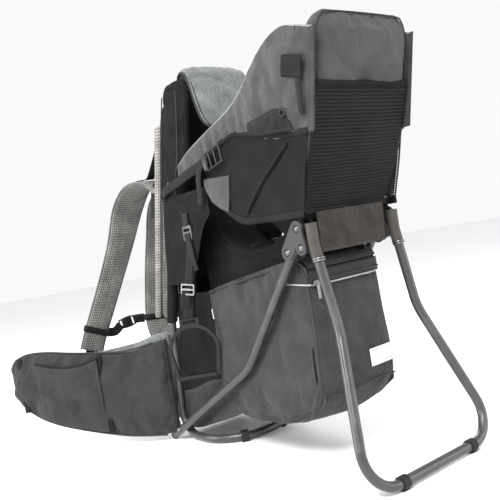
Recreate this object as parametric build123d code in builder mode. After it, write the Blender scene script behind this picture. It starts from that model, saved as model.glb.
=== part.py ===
"""Framed baby carrier backpack, standing open on its rear kickstand.

X runs across the carrier (left is -X), +Y is the wearer's forward direction and +Z is up.
The floor is Z = 0 and the origin lies under the middle of the carrier's bounding box.
"""
import os
from math import acos, cos, radians, sin, tan

from build123d import *

# ---- Driving dimensions, millimetres ----
TUBE = 19.0  # outside diameter of the frame tube
TUBE_R = TUBE / 2
MIDDLE_Y = 30.2  # the drawing's Y above the middle of the bounding box
FRAME_HALF = 110.0  # middle plane to an upright's centre line
BASE_REAR_Y = 17.0  # rearmost centre line of the floor loop
LOOP_Z = 12.6  # centre line of the floor loop, held off the floor by its feet
FOOT_Y = 226.0  # where the uprights turn up from the floor
KNEE_Y, KNEE_Z = 194.0, 290.0  # where the uprights start to lean back
LEAN = 0.342  # backward lean of the uprights above the knee, mm per mm
SPLICE_Z = 600.0  # joint between the lower frame and the top bow
BOW_Z = 868.0  # centre line of the top bow

HINGE_X = 113.0  # middle of a hinge plate
CHEEK_IN, CHEEK_OUT = 12.6, 17.2  # a cheek's faces from the middle of its plate
TOP_RIVET = (-357.0, 478.0)  # hinge plate rivets as (Y, Z)
STRUT_RIVET = (-321.0, 436.0)
FOOT_RIVET = (201.0, 30.0)  # joins a strut to its upright
RIVET_R = 3.0
RIVET_HOLE_R = 3.1
PIVOT = (-362.0, 441.0)  # kickstand pivot
PIN_R = 4.0
RUNNING = 0.05  # radial clearance of the kickstand pivots

STAND_KNEE = (-380.0, 447.0)  # kickstand tube below its upper arm
STAND_TOP = (-381.0, 482.0)
STAND_BEND = (-406.6, 285.6)  # where the legs begin to splay
STAND_BEND_X = 110.7
STAND_BAR = (-488.5, 12.6)  # cross bar of the kickstand
STAND_BAR_X = 188.9
FOOT_CLIP_R = STAND_BAR[1]  # rubber clips reach the floor
FOOT_CLIP_X = 100.0

STRUT_TOP = (-330.0, 447.0)
STRUT_BEND = (-121.5, 199.8)
STRUT_END = (236.0, 11.6)
STRUT_END_X = 131.0

ROD_R = 5.0  # headrest rod
ROD_X = 122.0
ROD_LOW = (-356.3, 483.5)
ROD_WAIST = (-360.0, 500.0)
ROD_SHOULDER = (-428.0, 641.0)
ROD_TOP = (-478.0, 838.0)

WING_X, WING_THICK = 131.0, 5.0  # side fabric panels
BAG_HALF = 97.0
SIDES = (("left", -1), ("right", 1))


def at(side, x, yz):
    """A point on one side of the carrier: side is -1 for left and +1 for right."""
    return Vector(side * x, yz[0], yz[1])


def upright_y(z):
    """Centre line of the leaning part of an upright."""
    return KNEE_Y - LEAN * (z - KNEE_Z)


def bent_path(points, radii):
    """Straight runs through the points, with a round bend at each inner point."""
    with BuildLine() as path:
        start = points[0]
        for before, corner, after, radius in zip(points, points[1:], points[2:], radii):
            arriving = (corner - before).normalized()
            leaving = (after - corner).normalized()
            half_turn = acos(max(-1.0, min(1.0, arriving.dot(leaving)))) / 2
            reach = radius * tan(half_turn)
            bend_in = corner - arriving * reach
            bend_out = corner + leaving * reach
            middle = corner + (leaving - arriving).normalized() * (radius / cos(half_turn) - radius)
            Line(start, bend_in)
            ThreePointArc(bend_in, middle, bend_out)
            start = bend_out
        Line(start, points[-1])
    return path.wire()


def round_bar(path, radius):
    """A round bar that follows a path."""
    with BuildPart() as bar:
        with BuildSketch(Plane(origin=path @ 0, z_dir=path % 0)):
            Circle(radius)
        sweep(path=path)
    return bar.part


def side_plane(x):
    """Plane across X, whose sketches read (Y, Z)."""
    return Plane(origin=(x, 0, 0), x_dir=(0, 1, 0), z_dir=(1, 0, 0))


def leaning_slab(low, high, half_width, thickness, corner):
    """A flat pad between two (Y, Z) points on the middle plane."""
    rise = Vector(0, high[0] - low[0], high[1] - low[1])
    middle = Vector(0, (low[0] + high[0]) / 2, (low[1] + high[1]) / 2)
    face = Plane(origin=middle, x_dir=(1, 0, 0), z_dir=Vector(1, 0, 0).cross(rise))
    with BuildPart() as slab:
        with BuildSketch(face):
            RectangleRounded(2 * half_width, rise.length, corner)
        extrude(amount=thickness / 2, both=True)
    return slab.part


def keep(builder, name):
    """Label a finished piece and write its STEP file."""
    piece = Pos(0, -MIDDLE_Y, 0) * builder.part
    piece.label = name
    export_step(piece, f"parts/{name}.step")


os.makedirs("parts", exist_ok=True)

# ======================= Tube frame =======================
knee = (KNEE_Y, KNEE_Z)
splice = (upright_y(SPLICE_Z), SPLICE_Z)
lower_points = [
    at(-1, FRAME_HALF, splice),
    at(-1, FRAME_HALF, knee),
    at(-1, FRAME_HALF, (FOOT_Y, LOOP_Z)),
    at(-1, FRAME_HALF, (BASE_REAR_Y, LOOP_Z)),
    at(1, FRAME_HALF, (BASE_REAR_Y, LOOP_Z)),
    at(1, FRAME_HALF, (FOOT_Y, LOOP_Z)),
    at(1, FRAME_HALF, knee),
    at(1, FRAME_HALF, splice),
]
floor_bend = FRAME_HALF - 1
with BuildPart() as back_frame:
    add(round_bar(bent_path(lower_points, [200, 60, floor_bend, floor_bend, 60, 200]), TUBE_R))
    with BuildSketch(side_plane(-FRAME_HALF - 20)):
        with Locations(FOOT_RIVET):
            Circle(RIVET_HOLE_R)
    extrude(amount=2 * FRAME_HALF + 40, mode=Mode.SUBTRACT)
keep(back_frame, "back_frame")

bow_low = (upright_y(SPLICE_Z + 1), SPLICE_Z + 1)
bow_top = (upright_y(BOW_Z), BOW_Z)
with BuildPart() as top_bow:
    corners = [at(-1, FRAME_HALF, bow_top), at(1, FRAME_HALF, bow_top)]
    bow_path = bent_path([at(-1, FRAME_HALF, bow_low), *corners, at(1, FRAME_HALF, bow_low)], [60, 60])
    add(round_bar(bow_path, TUBE_R))
keep(top_bow, "top_bow")

upright_dir = Vector(0, -LEAN, 1).normalized()
with BuildPart() as frame_sleeves:
    for _, side in SIDES:
        sleeve_low = at(side, FRAME_HALF, splice) - upright_dir * 25
        with BuildSketch(Plane(origin=sleeve_low, z_dir=upright_dir)):
            Circle(TUBE_R + 2.5)
            Circle(TUBE_R + 0.1, mode=Mode.SUBTRACT)
        extrude(amount=50)
keep(frame_sleeves, "frame_sleeves")

FOOT_TURN = radians(31.5)  # where a foot sits round the floor loop's bend
FOOT_WIDE = TUBE + 7
with BuildPart() as base_feet:
    for _, side in SIDES:
        foot_x = side * (FRAME_HALF - floor_bend + floor_bend * sin(FOOT_TURN))
        foot_y = BASE_REAR_Y + floor_bend * (1 - cos(FOOT_TURN))
        along_loop = (side * cos(FOOT_TURN), sin(FOOT_TURN), 0)
        with BuildSketch(Plane(origin=(foot_x, foot_y, LOOP_Z), x_dir=(0, 0, 1), z_dir=along_loop)):
            Rectangle(2 * LOOP_Z, FOOT_WIDE)
            fillet(vertices().group_by(Axis.Z)[-1], 6)
            Circle(TUBE_R + 0.8, mode=Mode.SUBTRACT)
        extrude(amount=9, both=True)
keep(base_feet, "base_feet")

# ======================= Side struts =======================
for name, side in SIDES:
    strut_path = bent_path(
        [
            at(side, HINGE_X, STRUT_TOP),
            at(side, (HINGE_X + STRUT_END_X) / 2, STRUT_BEND),
            at(side, STRUT_END_X, STRUT_END),
        ],
        [160],
    )
    with BuildPart() as side_strut:
        add(round_bar(strut_path, TUBE_R))
        with BuildSketch(side_plane(side * (HINGE_X - 20))):
            with Locations(STRUT_RIVET, FOOT_RIVET):
                Circle(RIVET_HOLE_R)
        extrude(amount=side * 60, mode=Mode.SUBTRACT)
    keep(side_strut, f"side_strut_{name}")

with BuildPart() as strut_caps:
    for _, side in SIDES:
        end = at(side, STRUT_END_X, STRUT_END)
        slope = (end - at(side, (HINGE_X + STRUT_END_X) / 2, STRUT_BEND)).normalized()
        with BuildSketch(Plane(origin=end + slope * 0.2, z_dir=slope)):
            Circle(TUBE_R + 0.5)
        extrude(amount=5)
keep(strut_caps, "strut_caps")

# ======================= Hinge plates and pivots =======================
for name, side in SIDES:
    with BuildPart() as hinge_plate:
        for near, far in ((CHEEK_IN, CHEEK_OUT), (-CHEEK_OUT, -CHEEK_IN)):
            with BuildSketch(side_plane(side * HINGE_X + near)):
                SlotCenterPoint(
                    ((TOP_RIVET[0] + STRUT_RIVET[0]) / 2, (TOP_RIVET[1] + STRUT_RIVET[1]) / 2), TOP_RIVET, 31
                )
                SlotCenterPoint(((TOP_RIVET[0] + PIVOT[0]) / 2, (TOP_RIVET[1] + PIVOT[1]) / 2), TOP_RIVET, 27)
            extrude(amount=far - near)
        with BuildSketch(side_plane(side * HINGE_X - CHEEK_IN)):
            SlotCenterPoint((-346.0, 465.0), TOP_RIVET, 18)
        extrude(amount=2 * CHEEK_IN)
        with BuildSketch(side_plane(side * HINGE_X - 30)):
            with Locations(TOP_RIVET, STRUT_RIVET):
                Circle(RIVET_HOLE_R)
            with Locations(PIVOT):
                Circle(PIN_R + 0.02)
        extrude(amount=60, mode=Mode.SUBTRACT)
        rod_dir = (at(side, HINGE_X, ROD_WAIST) - at(side, HINGE_X, ROD_LOW)).normalized()
        with BuildSketch(Plane(origin=at(side, HINGE_X, ROD_LOW) - rod_dir * 2, z_dir=rod_dir)):
            Circle(ROD_R + 0.1)
        extrude(amount=80, mode=Mode.SUBTRACT)
        strut_dir = (at(side, HINGE_X, STRUT_BEND) - at(side, HINGE_X, STRUT_TOP)).normalized()
        with BuildSketch(Plane(origin=at(side, HINGE_X, STRUT_TOP) - strut_dir, z_dir=strut_dir)):
            Circle(TUBE_R + 0.4)
        extrude(amount=60, mode=Mode.SUBTRACT)
        for face in (side * HINGE_X - CHEEK_OUT, side * HINGE_X + CHEEK_OUT - 1.6):
            with BuildSketch(side_plane(face)):
                with Locations(TOP_RIVET, STRUT_RIVET, PIVOT):
                    Circle(8)
            extrude(amount=1.6, mode=Mode.SUBTRACT)
    keep(hinge_plate, f"hinge_plate_{name}")


def rivet(spot, low_x, high_x, shank):
    """A headed rivet along X through a (Y, Z) spot."""
    with BuildPart() as pin:
        with BuildSketch(side_plane(low_x)):
            with Locations(spot):
                Circle(shank)
        extrude(amount=high_x - low_x)
        for head_x, way in ((low_x, -1), (high_x, 1)):
            with BuildSketch(side_plane(head_x)):
                with Locations(spot):
                    Circle(shank + 3)
            extrude(amount=way * 2.5, taper=35)
    return pin.part


recess = CHEEK_OUT - 1.5
with BuildPart() as hinge_pins:
    for _, side in SIDES:
        add(rivet(PIVOT, side * HINGE_X - recess, side * HINGE_X + recess, PIN_R))
keep(hinge_pins, "hinge_pins")

cross_half = HINGE_X - CHEEK_OUT - 0.3
strut_side = STRUT_END_X + TUBE_R
with BuildPart() as frame_rivets:
    for _, side in SIDES:
        add(rivet(STRUT_RIVET, side * HINGE_X - recess, side * HINGE_X + recess, RIVET_R))
        low_x, high_x = sorted((side * (FRAME_HALF - TUBE_R), side * strut_side))
        add(rivet(FOOT_RIVET, low_x, high_x, RIVET_R))
    add(rivet(TOP_RIVET, -HINGE_X - recess, HINGE_X + recess, RIVET_R))
keep(frame_rivets, "frame_rivets")

with BuildPart() as hinge_crossbar:
    with BuildSketch(side_plane(-cross_half)):
        with Locations(TOP_RIVET):
            Circle(8)
            Circle(RIVET_HOLE_R, mode=Mode.SUBTRACT)
    extrude(amount=2 * cross_half)
keep(hinge_crossbar, "hinge_crossbar")

# ======================= Headrest rod =======================
rod_points = [
    at(-1, HINGE_X, ROD_LOW),
    at(-1, HINGE_X, ROD_WAIST),
    at(-1, ROD_X, ROD_SHOULDER),
    at(-1, ROD_X, ROD_TOP),
    at(1, ROD_X, ROD_TOP),
    at(1, ROD_X, ROD_SHOULDER),
    at(1, HINGE_X, ROD_WAIST),
    at(1, HINGE_X, ROD_LOW),
]
with BuildPart() as headrest_frame:
    add(round_bar(bent_path(rod_points, [40, 60, 45, 45, 60, 40]), ROD_R))
keep(headrest_frame, "headrest_frame")

with BuildPart() as rod_ferrules:
    for _, side in SIDES:
        rod_rise = (at(side, ROD_X, ROD_SHOULDER) - at(side, HINGE_X, ROD_WAIST)).normalized()
        with BuildSketch(Plane(origin=at(side, HINGE_X, ROD_WAIST) + rod_rise * 12, z_dir=rod_rise)):
            Circle(ROD_R + 2.4)
            Circle(ROD_R + 0.1, mode=Mode.SUBTRACT)
        extrude(amount=7)
keep(rod_ferrules, "rod_ferrules")

# ======================= Kickstand (moves as one) =======================
stand_points = [
    at(-1, HINGE_X, STAND_TOP),
    at(-1, HINGE_X, STAND_KNEE),
    at(-1, STAND_BEND_X, STAND_BEND),
    at(-1, STAND_BAR_X, STAND_BAR),
    at(1, STAND_BAR_X, STAND_BAR),
    at(1, STAND_BEND_X, STAND_BEND),
    at(1, HINGE_X, STAND_KNEE),
    at(1, HINGE_X, STAND_TOP),
]
with BuildPart() as kick_tube:
    add(round_bar(bent_path(stand_points, [50, 140, 60, 60, 140, 50]), TUBE_R))
keep(kick_tube, "kick_tube")

SOCKET_R = TUBE_R + 1.9
for name, side in SIDES:
    top = at(side, HINGE_X, STAND_TOP)
    bend = at(side, HINGE_X, STAND_KNEE)
    leg_dir = (at(side, STAND_BEND_X, STAND_BEND) - bend).normalized()
    arm_dir = (top - bend).normalized()
    sleeve_path = bent_path([top + arm_dir * 3, bend, bend + leg_dir * 32], [50])
    bore_path = bent_path([top + arm_dir * 0.2, bend, bend + leg_dir * 60], [50])
    with BuildPart() as kick_socket:
        add(round_bar(sleeve_path, SOCKET_R))
        with BuildSketch(side_plane(side * HINGE_X - 9)):
            SlotCenterPoint((-369.0, 443.0), PIVOT, 22)
        extrude(amount=18)
        add(round_bar(bore_path, TUBE_R + 0.1), mode=Mode.SUBTRACT)
        with BuildSketch(side_plane(side * HINGE_X - 20)):
            with Locations(PIVOT):
                Circle(PIN_R + RUNNING)
        extrude(amount=40, mode=Mode.SUBTRACT)
    keep(kick_socket, f"kick_socket_{name}")

with BuildPart() as kick_feet:
    for _, side in SIDES:
        with BuildSketch(side_plane(side * FOOT_CLIP_X - 8)):
            with Locations(STAND_BAR):
                Circle(FOOT_CLIP_R)
            with Locations((STAND_BAR[0], FOOT_CLIP_R / 2)):
                Rectangle(FOOT_CLIP_R, FOOT_CLIP_R)
            with Locations(STAND_BAR):
                Circle(TUBE_R + 0.1, mode=Mode.SUBTRACT)
        extrude(amount=16)
keep(kick_feet, "kick_feet")

# ======================= Fabric body of the carrier =======================
with BuildPart() as front_panel:
    add(leaning_slab((upright_y(330), 330), (upright_y(845), 845), FRAME_HALF - TUBE_R - 4.5, 8, 50))
keep(front_panel, "front_panel")

with BuildPart() as back_panel:
    add(leaning_slab((260, 299), (90, 792), 102, 28, 25))
keep(back_panel, "back_panel")

with BuildPart() as lumbar_pad:
    add(leaning_slab((256, 34), (228, 278), 116, 30, 30))
keep(lumbar_pad, "lumbar_pad")

ROD_LEAN = (ROD_TOP[0] - ROD_SHOULDER[0]) / (ROD_TOP[1] - ROD_SHOULDER[1])
pad_low = (ROD_SHOULDER[0] + 6, ROD_SHOULDER[1] + 4)
pad_high = (pad_low[0] + ROD_LEAN * 180, pad_low[1] + 180)
with BuildPart() as headrest_pad:
    add(leaning_slab(pad_low, pad_high, ROD_X - ROD_R - 3, 24, 38))
keep(headrest_pad, "headrest_pad")

mesh_lean = (ROD_SHOULDER[0] - ROD_WAIST[0]) / (ROD_SHOULDER[1] - ROD_WAIST[1])
with BuildPart() as rear_mesh:
    add(
        leaning_slab(
            (ROD_WAIST[0] + mesh_lean * 12, ROD_WAIST[1] + 12),
            (ROD_SHOULDER[0] - mesh_lean * 6, ROD_SHOULDER[1] - 6),
            HINGE_X - ROD_R - 2,
            4,
            6,
        )
    )
keep(rear_mesh, "rear_mesh")

with BuildPart() as rear_panel:
    add(leaning_slab((-371, 424), (-379, 506), HINGE_X - CHEEK_OUT - 1, 6, 4))
keep(rear_panel, "rear_panel")

WING_TOP = [(-476, 800), (-432, 832), (-392, 840), (-312, 805), (-241, 752), (-125, 719), (-30, 695)]
for name, side in SIDES:
    with BuildPart() as side_wing:
        with BuildSketch(side_plane(side * WING_X - WING_THICK / 2)):
            with BuildLine():
                top_edge = Spline(*WING_TOP)
                Polyline(top_edge @ 1, (90, 621), (-84, 650), (-209, 691), (-325, 662), (-424, 645), top_edge @ 0)
            make_face()
        extrude(amount=WING_THICK)
    keep(side_wing, f"side_wing_{name}")

    with BuildPart() as side_mesh:
        with BuildSketch(side_plane(side * WING_X - 1.5)):
            with BuildLine():
                Polyline(
                    (-421, 642), (-325, 659), (-209, 688), (-84, 646), (-88, 600), (-158, 536),
                    (-185, 512), (-342, 503), (-376, 503), close=True,
                )
            make_face()
        extrude(amount=3)
    keep(side_mesh, f"side_mesh_{name}")

with BuildPart() as drool_pad:
    with BuildSketch(side_plane(-86)):
        with BuildLine() as tongue:
            bow = (upright_y(BOW_Z), BOW_Z)
            over = CenterArc(bow, TUBE_R + 14, 20, 160)
            Line(over @ 0, (bow[0] + TUBE_R + 2.6, bow[1] - 4))
            under = CenterArc(bow, TUBE_R + 2.5, 0, 180)
            Line((bow[0] + TUBE_R + 2.6, bow[1] - 4), under @ 0)
            Polyline(under @ 1, (-44, 740), (-62, 732), over @ 1)
        make_face()
    extrude(amount=172)
keep(drool_pad, "drool_pad")

with BuildPart() as seat_sling:
    with BuildSketch(side_plane(-62)):
        with BuildLine() as saddle:
            Polyline((-338, 481), (-262, 448), (-70, 446), (10, 500), (52, 600))
            offset(amount=6, side=Side.BOTH)
        make_face()
    extrude(amount=124)
keep(seat_sling, "seat_sling")

with BuildPart() as storage_bag:
    with BuildSketch(side_plane(-BAG_HALF)):
        with BuildLine():
            Polyline(
                (27, 369), (-262, 416), (-325, 404), (-330, 150), (-290, 112), (-198, 80), (26, 87), close=True
            )
        make_face()
        fillet(vertices(), 12)
    extrude(amount=2 * BAG_HALF)
keep(storage_bag, "storage_bag")

with BuildPart() as zip_band:
    with BuildSketch(Plane(origin=(0, -331.5, 380), x_dir=(1, 0, 0), z_dir=(0, -1, 0))):
        RectangleRounded(180, 34, 3)
    extrude(amount=3)
keep(zip_band, "zip_band")

with BuildPart() as bag_label:
    with BuildSketch(Plane(origin=(56, -332, 197), x_dir=(1, 0, 0), z_dir=(0, -1, 0))):
        RectangleRounded(70, 36, 2)
    extrude(amount=1.5)
keep(bag_label, "bag_label")

# ======================= Hip belt =======================
FLARE = radians(40)
for name, side in SIDES:
    along = (side * sin(FLARE), cos(FLARE), 0)
    across = (cos(FLARE), -side * sin(FLARE), 0)
    with BuildPart() as hip_wing:
        with BuildSketch(Plane(origin=(side * 122, 206, 0), x_dir=along, z_dir=across)):
            with BuildLine():
                rim = Spline(
                    (24, 34), (123, 24), (272, 55), (410, 107), (452, 205), (398, 270), (276, 259), (109, 241),
                    (24, 262),
                )
                Line(rim @ 1, rim @ 0)
            make_face()
        extrude(amount=13, both=True)
    keep(hip_wing, f"hip_wing_{name}")

# ======================= Shoulder straps =======================
STRAP_ROUTES = {
    "left": [
        (-72, 170, 628), (-78, 225, 660), (-88, 300, 662), (-98, 365, 612),
        (-108, 415, 520), (-138, 462, 410), (-188, 486, 292), (-212, 486, 240),
    ],
    "right": [
        (72, 170, 628), (62, 228, 662), (50, 305, 664), (38, 375, 612),
        (28, 425, 520), (14, 455, 420), (-4, 466, 295), (-6, 452, 240),
    ],
}


def strap_frames(route):
    """A plane square to a strap at each point of its route, with X across the strap."""
    points = [Vector(*point) for point in route]
    frames = []
    for i, point in enumerate(points):
        run = (points[min(i + 1, len(points) - 1)] - points[max(i - 1, 0)]).normalized()
        across = (Vector(1, 0, 0) - run * run.X).normalized()
        frames.append(Plane(origin=point, x_dir=across, z_dir=run))
    return frames


for name, _ in SIDES:
    frames = strap_frames(STRAP_ROUTES[name])
    with BuildPart() as shoulder_strap:
        for step, frame in enumerate(frames):
            with BuildSketch(frame):
                RectangleRounded(78 - 2 * step, 14, 6)
        loft(ruled=True)
    keep(shoulder_strap, f"shoulder_strap_{name}")


def webbing(start, end, across, width, thickness):
    """A straight run of webbing between two points, flat along the given direction."""
    run = end - start
    flat = (across - run * (across.dot(run) / run.dot(run))).normalized()
    with BuildPart() as strip:
        with BuildSketch(Plane(origin=start, x_dir=flat, z_dir=run)):
            Rectangle(width, thickness)
        extrude(amount=run.length)
    return strip.part


X_AXIS = Vector(1, 0, 0)
with BuildPart() as load_lifters:
    for name, side in SIDES:
        strap_top = Vector(*STRAP_ROUTES[name][1]) + Vector(0, -4, 14)
        add(webbing(strap_top, Vector(side * 84, 131, 752), X_AXIS, 25, 2))
keep(load_lifters, "load_lifters")

with BuildPart() as strap_tails:
    for name, side in SIDES:
        strap_end = Vector(*STRAP_ROUTES[name][-1]) + Vector(0, 0, -12)
        add(webbing(strap_end, Vector(side * 92, 284, 100), X_AXIS, 25, 2))
keep(strap_tails, "strap_tails")

BUCKLE = Vector(-88, 491, 297)
STERNUM_LEFT, STERNUM_RIGHT = Vector(-147, 500, 283), Vector(-46, 479, 299)
BUCKLE_RUN = (STERNUM_RIGHT - STERNUM_LEFT).normalized()
BAND_STATION = 6  # the route point at a strap's band
with BuildPart() as strap_bands:
    for name, _ in SIDES:
        band_frame = strap_frames(STRAP_ROUTES[name])[BAND_STATION]
        with BuildSketch(band_frame.offset(-8)):
            RectangleRounded(77, 23, 6)
            RectangleRounded(73, 19.6, 6, mode=Mode.SUBTRACT)
        extrude(amount=16)
keep(strap_bands, "strap_bands")

with BuildPart() as sternum_strap:
    add(webbing(BUCKLE - BUCKLE_RUN * 32, STERNUM_LEFT, Vector(0, 0, 1), 24, 2.5))
    add(webbing(BUCKLE + BUCKLE_RUN * 28, STERNUM_RIGHT, Vector(0, 0, 1), 24, 2.5))
keep(sternum_strap, "sternum_strap")

with BuildPart() as sternum_buckle:
    with BuildSketch(Plane(origin=BUCKLE, x_dir=(0, 0, 1), z_dir=BUCKLE_RUN)):
        RectangleRounded(30, 10, 4)
    extrude(amount=24, both=True)
keep(sternum_buckle, "sternum_buckle")

# ======================= Side webbing and lower side panels =======================
with BuildPart() as compression_straps:
    for _, side in SIDES:
        strap_x = side * (WING_X + WING_THICK / 2 + 1.6)
        add(webbing(Vector(strap_x, 96, 612), Vector(strap_x, -112, 652), Vector(0, 0, 1), 22, 2))
keep(compression_straps, "compression_straps")

with BuildPart() as ladder_buckles:
    for _, side in SIDES:
        with BuildSketch(side_plane(side * (WING_X + WING_THICK / 2 + 4.4))):
            with Locations(Location((-146, 650, 0), -10)):
                RectangleRounded(56, 34, 6)
        extrude(amount=3.5, both=True)
keep(ladder_buckles, "ladder_buckles")

for name, side in SIDES:
    with BuildPart() as side_panel:
        with BuildSketch(side_plane(side * 124.2 - 1)):
            with BuildLine():
                Polyline(
                    (98, 606), (-82, 606), (-108, 566), (-40, 508), (6, 440), (36, 392), (158, 392), close=True
                )
            make_face()
        extrude(amount=2)
    keep(side_panel, f"side_panel_{name}")

    with BuildPart() as side_skirt:
        with BuildSketch(side_plane(side * 98.5 - 1)):
            with BuildLine():
                Polyline((28.5, 372), (172, 372), (214, 250), (214, 48), (60, 62), (28.5, 80), close=True)
            make_face()
        extrude(amount=2)
    keep(side_skirt, f"side_skirt_{name}")

# ======================= Child harness =======================
with BuildPart() as child_harness:
    for _, side in SIDES:
        add(webbing(Vector(side * 42, -398, 634), Vector(side * 26, -200, 459), X_AXIS, 22, 2))
keep(child_harness, "child_harness")

with BuildPart() as harness_buckle:
    with BuildSketch(Plane(origin=(0, -160, 454))):
        RectangleRounded(52, 40, 8)
    extrude(amount=12)
keep(harness_buckle, "harness_buckle")

# ======================= Stirrups =======================
ANCHOR = (18.0, 490.0)  # strap's swing axis as (Y, Z)
ANCHOR_X = 128.5
LOOP_BAR = Vector(152, 38, 312)  # bar that the stirrup hangs from, right-hand side
LOOP_TURN = radians(41)  # how far the stirrup faces round
STIRRUP_R = 60.0
with BuildPart() as stirrup_anchors:
    for _, side in SIDES:
        with BuildSketch(side_plane(side * ANCHOR_X - 1.8)):
            with Locations((ANCHOR[0], ANCHOR[1] + 22)):
                RectangleRounded(36, 34, 4)
            with Locations((ANCHOR[0], ANCHOR[1] + 29), (ANCHOR[0], ANCHOR[1] + 15)):
                Rectangle(27, 7, mode=Mode.SUBTRACT)
        extrude(amount=3.6)
keep(stirrup_anchors, "stirrup_anchors")

for name, side in SIDES:
    swing_top = at(side, ANCHOR_X, ANCHOR)
    loop_bar = Vector(side * LOOP_BAR.X, LOOP_BAR.Y, LOOP_BAR.Z)
    loop_across = Vector(-side * cos(LOOP_TURN), -sin(LOOP_TURN), 0)
    strap_run = (loop_bar - swing_top).normalized()
    with BuildPart() as stirrup_strap:
        with BuildSketch(Plane(origin=swing_top + strap_run * 2, x_dir=(0, 1, 0), z_dir=strap_run)):
            Rectangle(26, 3)
        with BuildSketch(Plane(origin=loop_bar - strap_run * 10, x_dir=loop_across, z_dir=strap_run)):
            Rectangle(26, 3)
        loft(ruled=True)
    keep(stirrup_strap, f"stirrup_strap_{name}")

    glide_at = swing_top + strap_run * 108
    glide_across = (Vector(0, -1, 0) * 0.55 + loop_across * 0.45).normalized()
    glide_face = strap_run.cross(glide_across).normalized()
    outward = glide_face if glide_face.X * side > 0 else glide_face * -1
    with BuildPart() as tri_glide:
        with BuildSketch(Plane(origin=glide_at + outward * 4.6, x_dir=strap_run, z_dir=outward)):
            RectangleRounded(26, 38, 4)
            RectangleRounded(19, 31, 2, mode=Mode.SUBTRACT)
            Rectangle(4, 34)
        extrude(amount=3)
    keep(tri_glide, f"tri_glide_{name}")

    loop_centre = loop_bar - Vector(0, 0, STIRRUP_R + 8)
    loop_face = Plane(origin=loop_centre, x_dir=loop_across, z_dir=loop_across.cross(Vector(0, 0, 1)))
    with BuildPart() as stirrup:
        with BuildSketch(loop_face):
            with BuildLine():
                crown = ThreePointArc((-STIRRUP_R, 0), (0, STIRRUP_R), (STIRRUP_R, 0))
                Line(crown @ 1, (50, -64))
                Line((50, -64), (-50, -64))
                Line((-50, -64), crown @ 0)
            make_face()
            with Locations((0, STIRRUP_R + 4)):
                RectangleRounded(44, 20, 4)
        extrude(amount=5, both=True)
        with BuildSketch(loop_face):
            with BuildLine():
                inner = ThreePointArc((-STIRRUP_R + 8, 0), (0, STIRRUP_R - 8), (STIRRUP_R - 8, 0))
                Line(inner @ 1, (43, -56))
                Line((43, -56), (-43, -56))
                Line((-43, -56), inner @ 0)
            make_face()
            with Locations((0, STIRRUP_R + 6)):
                Rectangle(32, 7)
        extrude(amount=20, both=True, mode=Mode.SUBTRACT)
        with BuildSketch(loop_face):
            with Locations((0, -60)):
                Rectangle(86, 7)
        extrude(amount=13, both=True)
    keep(stirrup, f"stirrup_{name}")

# ======================= Zip slider =======================
ZIP_X, ZIP_Z = -84.0, 369.0
with BuildPart() as zip_slider:
    with BuildSketch(Plane(origin=(ZIP_X, -335.0, ZIP_Z), x_dir=(1, 0, 0), z_dir=(0, -1, 0))):
        RectangleRounded(14, 12, 3)
    extrude(amount=4)
keep(zip_slider, "zip_slider")

with BuildPart() as zip_pull:
    with BuildSketch(Plane(origin=(ZIP_X, -339.8, ZIP_Z - 15), x_dir=(1, 0, 0), z_dir=(0, -1, 0))):
        RectangleRounded(6, 32, 2.5)
    extrude(amount=2)
keep(zip_pull, "zip_pull")
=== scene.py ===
"""Looks of a framed baby carrier backpack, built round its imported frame."""

import math

import bpy
from mathutils import Matrix, Vector, noise


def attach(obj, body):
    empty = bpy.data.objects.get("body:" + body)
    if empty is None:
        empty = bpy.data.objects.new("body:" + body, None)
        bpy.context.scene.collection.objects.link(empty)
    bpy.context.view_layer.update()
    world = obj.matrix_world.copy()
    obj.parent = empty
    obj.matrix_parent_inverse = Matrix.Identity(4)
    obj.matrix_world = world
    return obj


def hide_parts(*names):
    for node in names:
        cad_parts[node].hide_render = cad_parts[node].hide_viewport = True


bl_info = {
    "name": "Baby carrier backpack",
    "version": (1, 0, 0),
    "blender": (4, 5, 0),
    "location": "View3D > Sidebar > Carrier",
    "description": "Builds the fabric, webbing, hardware and finishes of a framed baby carrier",
    "category": "Object",
}

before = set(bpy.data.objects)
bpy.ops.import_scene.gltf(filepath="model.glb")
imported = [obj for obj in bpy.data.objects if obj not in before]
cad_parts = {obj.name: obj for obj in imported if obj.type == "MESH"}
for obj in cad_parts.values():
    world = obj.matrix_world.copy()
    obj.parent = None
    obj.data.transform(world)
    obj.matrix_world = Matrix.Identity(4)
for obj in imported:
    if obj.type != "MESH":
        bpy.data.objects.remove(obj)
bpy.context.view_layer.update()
MIDDLE_Y = 0.0302  # the drawing's Y above the middle of the frame's box
MAIN = "carrier"
SWELL_FRAMES = 14  # how long a pad is blown up
HELD_RIM = 0.003  # the width of rim that holds still meanwhile
NET_RELIEF = 0.0006
LENS_MM, SENSOR_MM = 48.18, 36
ROOM_LIGHT = 0.95
LIGHTS = (  # name, place, size in metres, power in watts
    ("key", (-2.2, -1.6, 2.8), 1.3, 190),
    ("fill", (1.9, -2.6, 1.3), 1.8, 34),
    ("rim", (1.6, 2.2, 2.4), 1.4, 70),
    ("side", (-2.8, 1.2, 1.0), 1.2, 60),
)
SIDES = (("left", -1), ("right", 1))


# ======================= Sizes and colours =======================
def colour_property(name, description, default):
    """A colour that a user can change."""
    return bpy.props.FloatVectorProperty(
        name=name, description=description, subtype="COLOR", size=3, min=0, max=1, default=default
    )


def length_property(name, description, default):
    """A length in metres that a user can change."""
    return bpy.props.FloatProperty(
        name=name, description=description, subtype="DISTANCE", unit="LENGTH", min=0, default=default
    )


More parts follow.
